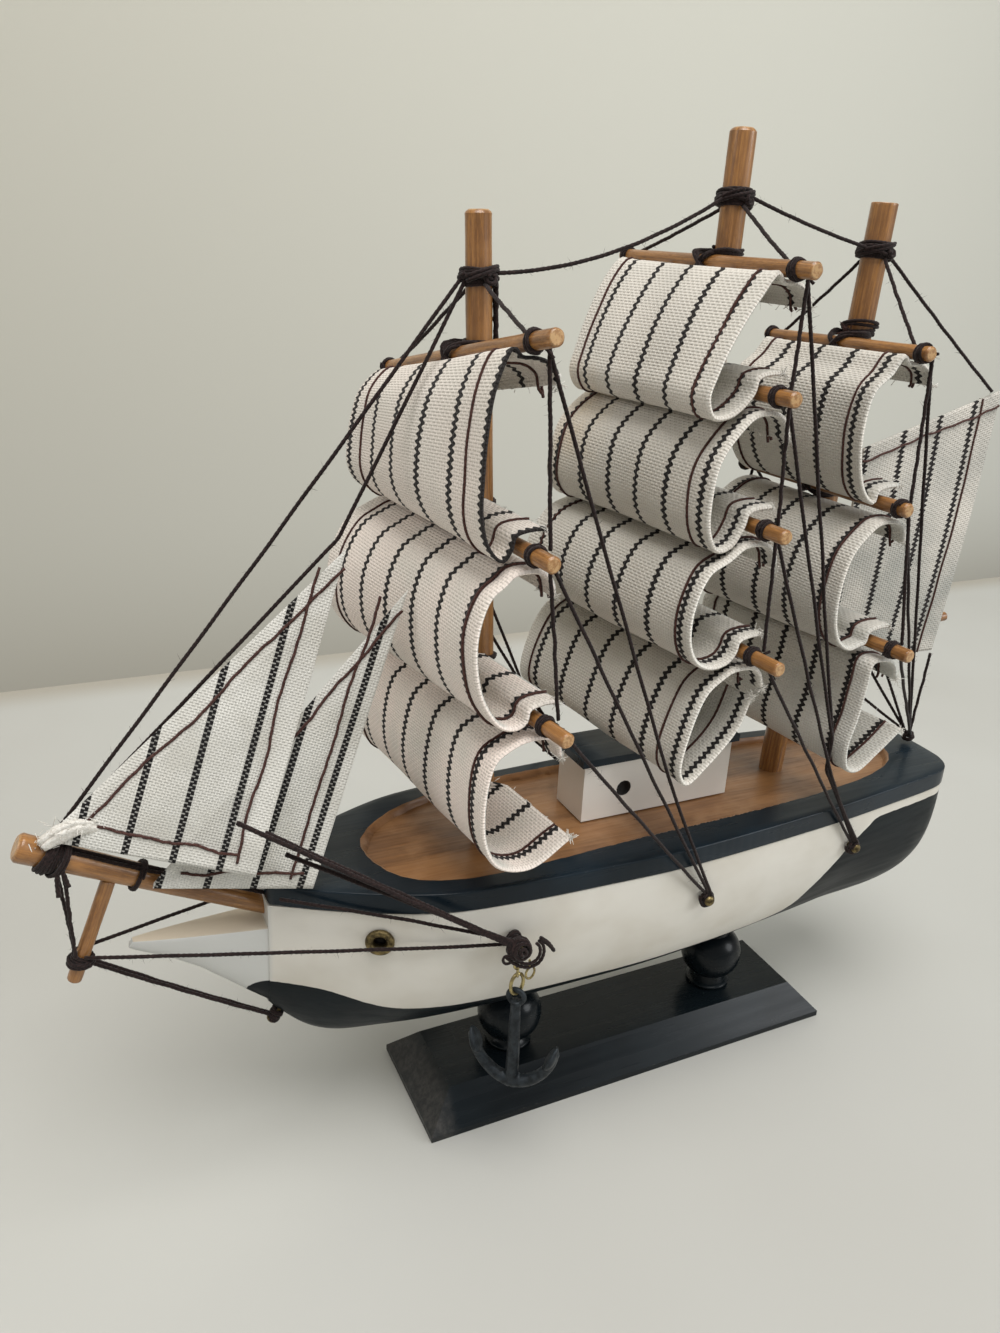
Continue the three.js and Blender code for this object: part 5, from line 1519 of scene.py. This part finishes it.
def sprit_lashings(shape, rng):
    """The windings on the bowsprit and the striker, their cut ends, and the two threads under the jibs."""
    sprit = unit(SPRIT_TIP - SPRIT_BASE)
    tip_tie = sprit_point(TIP_TIE)
    wound(shape, tip_tie, sprit, 2.75, 5, 3.6, rng, loose=0.08)
    wound(shape, tip_tie + sprit * 0.9, sprit + (0.1, 0.2, 0.1), 3.25, 3, 1.8, rng, loose=0.15)
    wound(shape, tip_tie - sprit * 0.8, sprit + (0, -0.2, 0.1), 3.25, 2, 1.0, rng, loose=0.2)
    inner_tie = sprit_point(INNER_TIE)
    wound(shape, inner_tie, sprit, 2.5, 2, 1.0, rng, 0.5, 0.05)
    striker = unit(STRIKER_FOOT - STRIKER_TOP)
    low = striker_tie()
    wound(shape, low, striker, 1.5, 4, 2.6, rng, 0.42, 0.06)
    wound(shape, low + striker * 0.3, striker + (0.25, 0.1, 0), 1.95, 3, 1.2, rng, 0.42, 0.15)
    tail(shape, tip_tie + (0.2, -3.4, -1.8), (-0.1, -0.1, -1), 4.6, 0.5, 0.55)
    tail(shape, tip_tie + (1.0, -3.4, -1.4), (0.25, -0.1, -1), 3.4, 0.5, 0.55)
    for offset in ((0, -1.6, 2.6), (0.2, -0.8, 3.0)):
        ends = [tip_tie + offset, inner_tie + np.array(offset) * 0.95, SPRIT_BASE + (4, -1.9, 2.2)]
        shape.add(*rope_tube(rope_line(ends, 0.0, rng), 0.45))


def nail_lashings(shape, rng):
    """The threads wound on the nails."""
    for sign in SIDES.values():
        for place in NAILS:
            at = nail_winding(place, sign)
            root = at - (0, sign * 0.3, 0)
            wound(shape, at, (0, sign, 0), NAIL_RADIUS, 4 if place == "fore" else 3, 1.6, rng, 0.4, 0.08)
            wound(shape, root, (0.15, sign, 0.1), NAIL_RADIUS + 0.55, 2, 0.8, rng, 0.4, 0.15)
    root, tip = BOBSTAY_NAIL
    wound(shape, root + (tip - root) * 0.5, tip - root, NAIL_RADIUS, 5, 2.6, rng, 0.4, 0.1)


def bow_lashings():
    """The windings at the bow, and the one at the stern."""
    rng = np.random.default_rng(78)
    shape = Shape()
    sprit_lashings(shape, rng)
    nail_lashings(shape, rng)
    port_thread_ball(shape, rng)
    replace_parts(shape.build("lashings_bow", "thread"), "rigging_bow")
    stern = Shape()
    wound(stern, STERN_TIE + (0, 0, 0.6), (0, 0, 1), 0.7, 3, 1.6, rng, loose=0.2)
    stern.build("lashing_stern", "thread")


# where a thread bears on a sail or a rail between its yard and its nail: x, distance out and z
BEARINGS = {
    ("port", "fore_1"): [(-11, 27.9, 97)],
    ("port", "main_1"): [(37.4, 25.6, 97), (38, 25.2, 88.4)],
    ("port", "main_2"): [(37.2, 25.8, 97), (37.8, 25.3, 88.4)],
    ("port", "main_3"): [(37.4, 25.8, 90.5)],
    ("starboard", "fore_1"): [(-18, 30.5, 97)],
    ("starboard", "fore_2"): [(-18.4, 31, 97)],
    ("starboard", "main_1"): [(32.6, 26.2, 97), (34.2, 25.4, 88)],
    ("starboard", "main_2"): [(32.2, 26.4, 97), (34, 25.6, 88)],
    ("starboard", "main_3"): [(31.8, 26.8, 97), (33.8, 25.8, 88)],
}


def upright(above, below, side, sign):
    """The short thread between the ends of two yards, held at both."""
    ends = [tie_point(above, sign) + (0.5, 0, -0.6), tie_point(below, sign) + (0.5, 0, 0.8)]
    rope_piece(f"upright_{below}_{side}", ends, 0.1)


def side_ropes():
    """The threads from the yards' ends down to the nails and to the stern."""
    for side, sign in SIDES.items():
        for group, place in (("fore", "mid"), ("main", "aft")):
            nail = nail_winding(place, sign)
            yards = [y for y in YARDS if y.startswith(group)]
            for k, yard in enumerate(yards):
                middle = [(x, sign * out, z) for x, out, z in BEARINGS.get((side, yard), [])]
                end = nail + (0.7 - 0.5 * k, sign * (0.5 - 0.3 * k), 1.3)
                rope_piece(f"{yard}_{side}", [tie_point(yard, sign), *middle, end], 0.5)
                if k:
                    upright(yards[k - 1], yard, side, sign)
        stern = STERN_TIE + (0, sign * 0.5, 0.6)
        yards = [y for y in YARDS if y.startswith("mizzen")]
        for k, yard in enumerate(yards):
            rope_piece(f"{yard}_{side}", [tie_point(yard, sign), stern + (0.2 * k, 0, 0.3 * k)], 0.5)
            if k:
                upright(yards[k - 1], yard, side, sign)


def head_ropes():
    """The threads between the mast heads, the top yards' lifts and the spanker's two threads."""
    at = {name: mast_point(name, z) for name, z in MAST_HEADS.items()}
    rope_piece("stay_fore_main", [at["fore"] + (3, -1, 0.6), at["main"] + (-3, -1, 0.2)], 3.4)
    rope_piece("stay_main_mizzen", [at["main"] + (3, -1, 0.6), at["mizzen"] + (-3.2, -1, 0.4)], 0.5)
    for mast, yard in (("fore", "fore_1"), ("main", "main_1"), ("mizzen", "mizzen_1")):
        for side, sign in SIDES.items():
            start = at[mast] + (0, sign * 3.1, -1.4)
            end = yard_point(yard, tie_reach(yard, sign) - sign * 3.4) + (0.9, 0, 0.9)
            rope_piece(f"lift_{mast}_{side}", [start, end], 0.2)
    rope_piece("spanker_halyard", [at["mizzen"] + (3.2, 0, 0), (96.6, -0.3, 174.4)], 0.3)
    rope_piece("spanker_sheet", [(94.6, -0.5, 102.9), STERN_TIE + (0, -0.2, 1.2)], 0.4)


def clear_of_hull(p):
    """The point, moved out where it would lie inside the hull's side."""
    clear = ROPE + 0.35 + (1.2 if abs(p[0] - EYELET[0]) < 6 else 0.1)
    if p[0] < BOW_X or p[2] > RAIL_TOP + clear:
        return p
    breadth = half_breadth(p[0], p[2]) if p[2] < HULL_TOP - clear else breadth_at(p[0]) + 0.25
    return np.array([p[0], math.copysign(max(abs(p[1]), float(breadth) + clear), p[1]), p[2]])


def round_hull(start, end):
    """The points of a thread that bears on the hull's side."""
    start, end = np.array(start, float), np.array(end, float)
    middle = [start + (end - start) * i / 8 for i in range(1, 8)]
    moved = [(p, clear_of_hull(p)) for p in middle]
    return [start] + [q for p, q in moved if np.linalg.norm(q - p) > 1e-6] + [end]


def bow_ropes():
    """The stays, the threads under the bowsprit and the threads along the bow."""
    tip_tie = sprit_point(TIP_TIE)
    top = tip_tie + np.array([-0.4, 0, 3.5])
    low = striker_tie()
    head = mast_point("fore", MAST_HEADS["fore"])
    rope_piece("forestay", [head + (-3, -0.4, 0.4), top], 0.6)
    rope_piece("jib_stay", [head + (-3, -0.9, -0.6), (-75.8, 0.2, 147.4), top + (0.6, 0.4, 0)], 0.2)
    for name, shift in (("a", -0.6), ("b", 0.7)):
        ends = [tip_tie + (0.6 + shift, -1.6 * shift, -3.0), low + (-1.0, -1.5 * shift, 1.2)]
        rope_piece("martingale_" + name, ends, 0.0)
        rope_piece("bobstay_" + name, [low + (1.2, shift, -0.6), (-93.6, shift * 0.5, 36.6)], 0.4)
    for side, sign in SIDES.items():
        nail = nail_winding("fore", sign) + (-1.3, sign * 1.4, 0.4)
        rope_piece(f"guy_{side}", round_hull(low + (0.6, sign * 1.9, 1.4), nail), 0.1)
    foot = nail_ends("fore", -1)[1] + (-1.6, 0.9, 0.9)
    starts = [(-101.4, -16.4, 97.7), (-96.1, -16.4, 94.4), (-92.4, -16.6, 88.8)]
    for k, start in enumerate(starts):
        ends = round_hull(foot + (0.3 * k, 0, 0.35 * k), start)
        rope_piece(f"jib_sheet_{k}", ends, 0.1, radius=0.55)
    foot_thread = [foot + (0.2, 0.3, 1.4), (-66.2, -21.4, 69.2), (-92.6, -9.6, 73.8)]
    rope_piece("foot_thread", foot_thread, 0.0)


def fuzz_piece():
    """Short loose fibres all along the threads."""
    rng = np.random.default_rng(5)
    shape = Shape()
    points, faces = [], []
    for at, along in HAIRS:
        out = unit(np.cross(along, rng.normal(size=3)))
        lean = unit(out + along * rng.uniform(-1.5, 1.5))
        length, wide = rng.uniform(0.7, 1.9), rng.uniform(0.02, 0.045)
        bend = np.cross(lean, along) * rng.uniform(-0.4, 0.4)
        start = at + out * ROPE * 0.6
        across = unit(np.cross(lean, out + 0.3)) * wide
        mid, end = start + lean * length * 0.55 + bend * 0.4, start + lean * length + bend
        k = len(points)
        points += [start - across, start + across, mid + across * 0.7, mid - across * 0.7, end]
        faces += [(k, k + 1, k + 2, k + 3), (k + 3, k + 2, k + 4)]
    shape.add(points, faces)
    shape.build("thread_fuzz", "thread")


# ---------------------------------------------------------------- metalwork
def nail_pieces():
    """The round-headed nails in the sides and under the bow."""
    ends = {f"nail_{place}_{side}": nail_ends(place, sign) for side, sign in SIDES.items() for place in NAILS}
    ends["nail_bobstay"] = BOBSTAY_NAIL
    for name, (root, tip) in ends.items():
        length = np.linalg.norm(tip - root)
        neck = length - 0.8
        profile = [(0.01, -1.5), (NAIL_RADIUS, -1.5), (NAIL_RADIUS, neck), (NAIL_HEAD - 0.1, neck)]
        profile += arc((0.35, length - 0.85), NAIL_HEAD - 0.35, 5, 88, 8) + [(0.01, length + 0.15)]
        piece = Shape().add(*turned(profile, 24, root, tip - root)).build(name + "_pin", "brass", sharp=50)
        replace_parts(piece, name)


def eyelet_pieces():
    """The brass rings of the hawse holes, and cups of painted shade at the bottoms of their bores."""
    for side, sign in SIDES.items():
        at, facing = eyelet_place(sign)
        profile = [(1.35, -2.4), (1.9, -2.4), (1.9, 0.45), (3.2, 0.45)]
        profile += arc((2.35, 0.55), 0.85, 0, 170, 12) + [(1.42, 0.35), (1.35, -0.2), (1.35, -2.4)]
        piece = Shape().add(*turned(profile, 40, at, facing)).build(f"hawse_ring_{side}", "brass", sharp=60)
        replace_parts(piece, "hawse_eyelet_" + side)
        # Painted shade: a dark cup in each bore stands for the shade deep inside it.
        lining = Shape().add(*turned([(0.01, -2.2), (1.34, -2.2), (1.34, -0.9)], 24, at, facing))
        lining.build(f"hawse_bore_shade_{side}", "bore")


# height of the middle, radius, stretch downwards, wire radius
CHAIN_LINKS = [
    (61.22, 1.75, 1.0, 0.32), (58.75, 1.02, 1.0, 0.3), (57.02, 1.02, 1.0, 0.3), (55.22, 1.1, 1.0, 0.32),
    (51.8, 1.75, 1.5, 0.42),
]


def link(shape, centre, radius, turn, wire, opening=0.12, stretch=1.0):
    """A bent wire ring with a small gap where its ends meet."""
    angle = np.linspace(opening, 2 * math.pi - opening, 34) + 1.1 + turn
    flat = np.stack([np.cos(angle) * radius, np.zeros(34), np.sin(angle) * radius * stretch], axis=1)
    spin = math.radians(62) if turn % 2 else math.radians(12)
    upright_ring = flat[:, [0]] * (math.cos(spin), math.sin(spin), 0) + flat * (0, 0, 1)
    shape.add(*tube(np.array(centre) + upright_ring, wire, 9))


def chain_piece(side, sign, x, y):
    """The links from the fore nail to the anchor; port has a second, shorter strand."""
    chain = Shape()
    for i, (z, radius, stretch, wire) in enumerate(CHAIN_LINKS):
        link(chain, (x, y, z), radius, i % 2, wire, stretch=stretch)
    if sign < 0:
        for k, (dx, z, radius, stretch) in enumerate([(2.6, 56.6, 0.85, 1.0), (2.9, 54.2, 1.2, 1.25)]):
            link(chain, (x + dx, y - 0.4, z), radius, 1 - k, 0.27, 0.45, stretch)
    piece = chain.build(f"chain_{side}", "bright_brass", f"chain_{side}")
    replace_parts(piece, "anchor_chain_" + side)


def anchor_shape():
    """A small cast anchor below its eye: shank, and two arms with leaf-shaped flukes."""
    shape = Shape()
    angle = np.linspace(0, 2 * math.pi, 33)[:-1]
    eye = np.stack([np.cos(angle) * 1.75, np.zeros(32), np.sin(angle) * 1.75 - 0.5], axis=1)
    shape.add(*tube(np.vstack([eye, eye[:2]]), 0.68, 10))
    shank = np.array([(0, 0, -1.6), (0, 0, -8), (0.1, 0, -16), (0, 0, -24.2)])
    shank = spaced(shank, 0.8)
    shape.add(*tube(shank, np.linspace(1.2, 1.65, 30)[: len(shank)], 12))
    for way in (-1, 1):
        bend = [(0, -24.3), (3.4, -23.3), (6.7, -20.6), (8.9, -17), (9.9, -13.4)]
        arm = spline([(way * out, 0, down) for out, down in bend], 8)
        shape.add(*tube(arm, np.linspace(1.7, 1.0, len(arm)), 12))
        leaf = spline([(way * out, 0, down) for out, down in ((7.6, -18.2), (8.9, -15.6), (10.2, -11.9))], 8)
        width = 2.5 * np.sin(np.linspace(0.12, math.pi - 0.06, len(leaf))) ** 0.7 + 0.12
        points, faces, uv = tube(leaf, width, 14)
        middle = np.repeat(leaf, 14, axis=0)
        points = points.reshape(-1, 3)
        inward = (points - middle) * (0.42, 1.0, 0.42)
        shape.add(middle + inward, faces, uv)
    return shape


def anchor_piece(side, sign, x, y):
    """The anchor turned about the vertical and hung at its place, its joins melted as in a casting."""
    shape = anchor_shape()
    turn = math.radians(ANCHOR_TURN) * sign
    for part in shape.points:
        px, py = part[:, 0].copy(), part[:, 1].copy()
        part[:, 0] = x + px * math.cos(turn) - py * math.sin(turn)
        part[:, 1] = y + px * math.sin(turn) + py * math.cos(turn)
        part[:, 2] += ANCHOR_EYE
    anchor = shape.build(f"cast_anchor_{side}", "dark_metal", f"anchor_{side}")
    melt = anchor.modifiers.new("cast", "REMESH")
    melt.mode, melt.voxel_size, melt.use_smooth_shade = "VOXEL", 0.24 * MM, True
    ease = anchor.modifiers.new("ease", "SMOOTH")
    ease.factor, ease.iterations = 0.5, 3
    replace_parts(anchor, "anchor_" + side)


def chain_and_anchor():
    """Both chains and both anchors, hung from the fore nails."""
    x, z, _ = NAILS["fore"]
    for side, sign in SIDES.items():
        y = sign * (float(half_breadth(x, z)) + CHAIN_OUT)
        chain_piece(side, sign, x, y)
        anchor_piece(side, sign, x, y)


def soften(node, width, segments):
    """Rounds a CAD node's sharp edges."""
    bevel = node.modifiers.new("edges", "BEVEL")
    bevel.width, bevel.segments, bevel.limit_method = width * MM, segments, "ANGLE"
    bevel.angle_limit = math.radians(30)
    bevel.harden_normals = True
    node.data.polygons.foreach_set("use_smooth", [True] * len(node.data.polygons))


def paint(node, finish):
    """Gives a CAD node one of the finishes."""
    node.data.materials.clear()
    node.data.materials.append(FINISHES[finish])


# ---------------------------------------------------------------- stand and deckhouse
def stand_pieces():
    """The stand's base as CAD made it, and its two turned posts."""
    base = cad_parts["stand_base"]
    soften(base, 1.2, 4)
    paint(base, "stand_paint")
    for name, x in (("fore", -POST_X), ("aft", POST_X)):
        low, high = BASE_TOP + 0.3, float(keel_at(x)) - 0.2
        middle = low + 0.46 * (high - low)
        profile = [(1.75, low), (5.6, low)] + arc((5.6, low + 0.45), 0.45, -90, 60, 6) + [(5.1, low + 1.15)]
        for a in np.linspace(-62, 64, 22):
            c = math.cos(math.radians(a))
            profile.append((8.4 * c**0.8, middle + 7.4 * math.sin(math.radians(a))))
        profile += [(4.35, high - 1.9), (4.3, high - 1.0), (4.6, high - 0.5), (4.6, high), (1.75, high)]
        piece = Shape().add(*turned(profile, 48, (x, 0, 0))).build(f"post_{name}", "stand_paint", sharp=50)
        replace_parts(piece, "stand_post_" + name)
        paint(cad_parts["stand_screw_" + name], "steel")


def deckhouse_pieces():
    """The deckhouse's soft edges and the dark rims of its portholes."""
    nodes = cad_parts
    for name, finish, width in (
        ("deckhouse_block", "white_paint", 0.35), ("deckhouse_roof", "navy_paint", 0.4),
    ):
        soften(nodes[name], width, 3)
        paint(nodes[name], finish)
    low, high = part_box("deckhouse_block")
    z = DECK_TOP + 7.6
    shape = Shape()
    for x in (-6, 14):
        for y, out in ((low.y / MM, 1), (high.y / MM, -1)):
            rim = [(0.01, 1.2), (2.08, 1.2), (2.08, 0.12), (1.7, 0.05), (1.7, 0.9), (0.01, 0.9)]
            shape.add(*turned(rim, 28, (x, y, z), (0, out, 0)))
    shape.build("portholes", "bore")


def tack_tuft():
    """The outer jib's rolled corner, tied down on the bowsprit, with its frayed cotton."""
    rng = np.random.default_rng(9)
    cloth, fibres = Shape(), Shape()
    path = spline([(-124.6, -3.0, 94.6), (-128.4, -2.5, 95.5), (-132.4, -2.3, 94.6), (-136, -2.6, 92.8)], 8)
    size = np.interp(np.linspace(0, 1, len(path)), [0, 0.25, 0.7, 1], [0.4, 0.95, 1.2, 0.7])
    for shift in ((0, 0, 0), (0.5, -0.5, -0.8)):
        points, faces, uv = tube(path + shift, size, 12)
        lumpy = points.reshape(len(path), 12, 3)
        middle = (path + shift)[:, None]
        swell = 1 + 0.22 * np.sin(np.arange(12) * 1.9)[None, :] + rng.normal(size=(len(path), 12)) * 0.06
        cloth.add(middle + (lumpy - middle) * swell[:, :, None], faces, uv)
    cloth.build("tack_roll", "fray")
    for _ in range(60):
        start = path[rng.integers(0, len(path))] + rng.normal(size=3) * 0.9
        out = unit(rng.normal(size=3) + (-0.3, -0.3, -0.1))
        fibres.add(*tube(start + out * np.linspace(0, rng.uniform(1, 2.4), 4)[:, None], 0.08, 4))
    fibres.build("tack_fray", "fray")


make_camera()
make_lights()
make_stage()
side_ropes()
head_ropes()
bow_ropes()
lashing_pieces()
bow_lashings()
fuzz_piece()
cloth_pieces()
hull_piece()
cutwater_piece()
rail_piece()
deck_piece()
spar_pieces()
nail_pieces()
eyelet_pieces()
chain_and_anchor()
stand_pieces()
deckhouse_pieces()
tack_tuft()
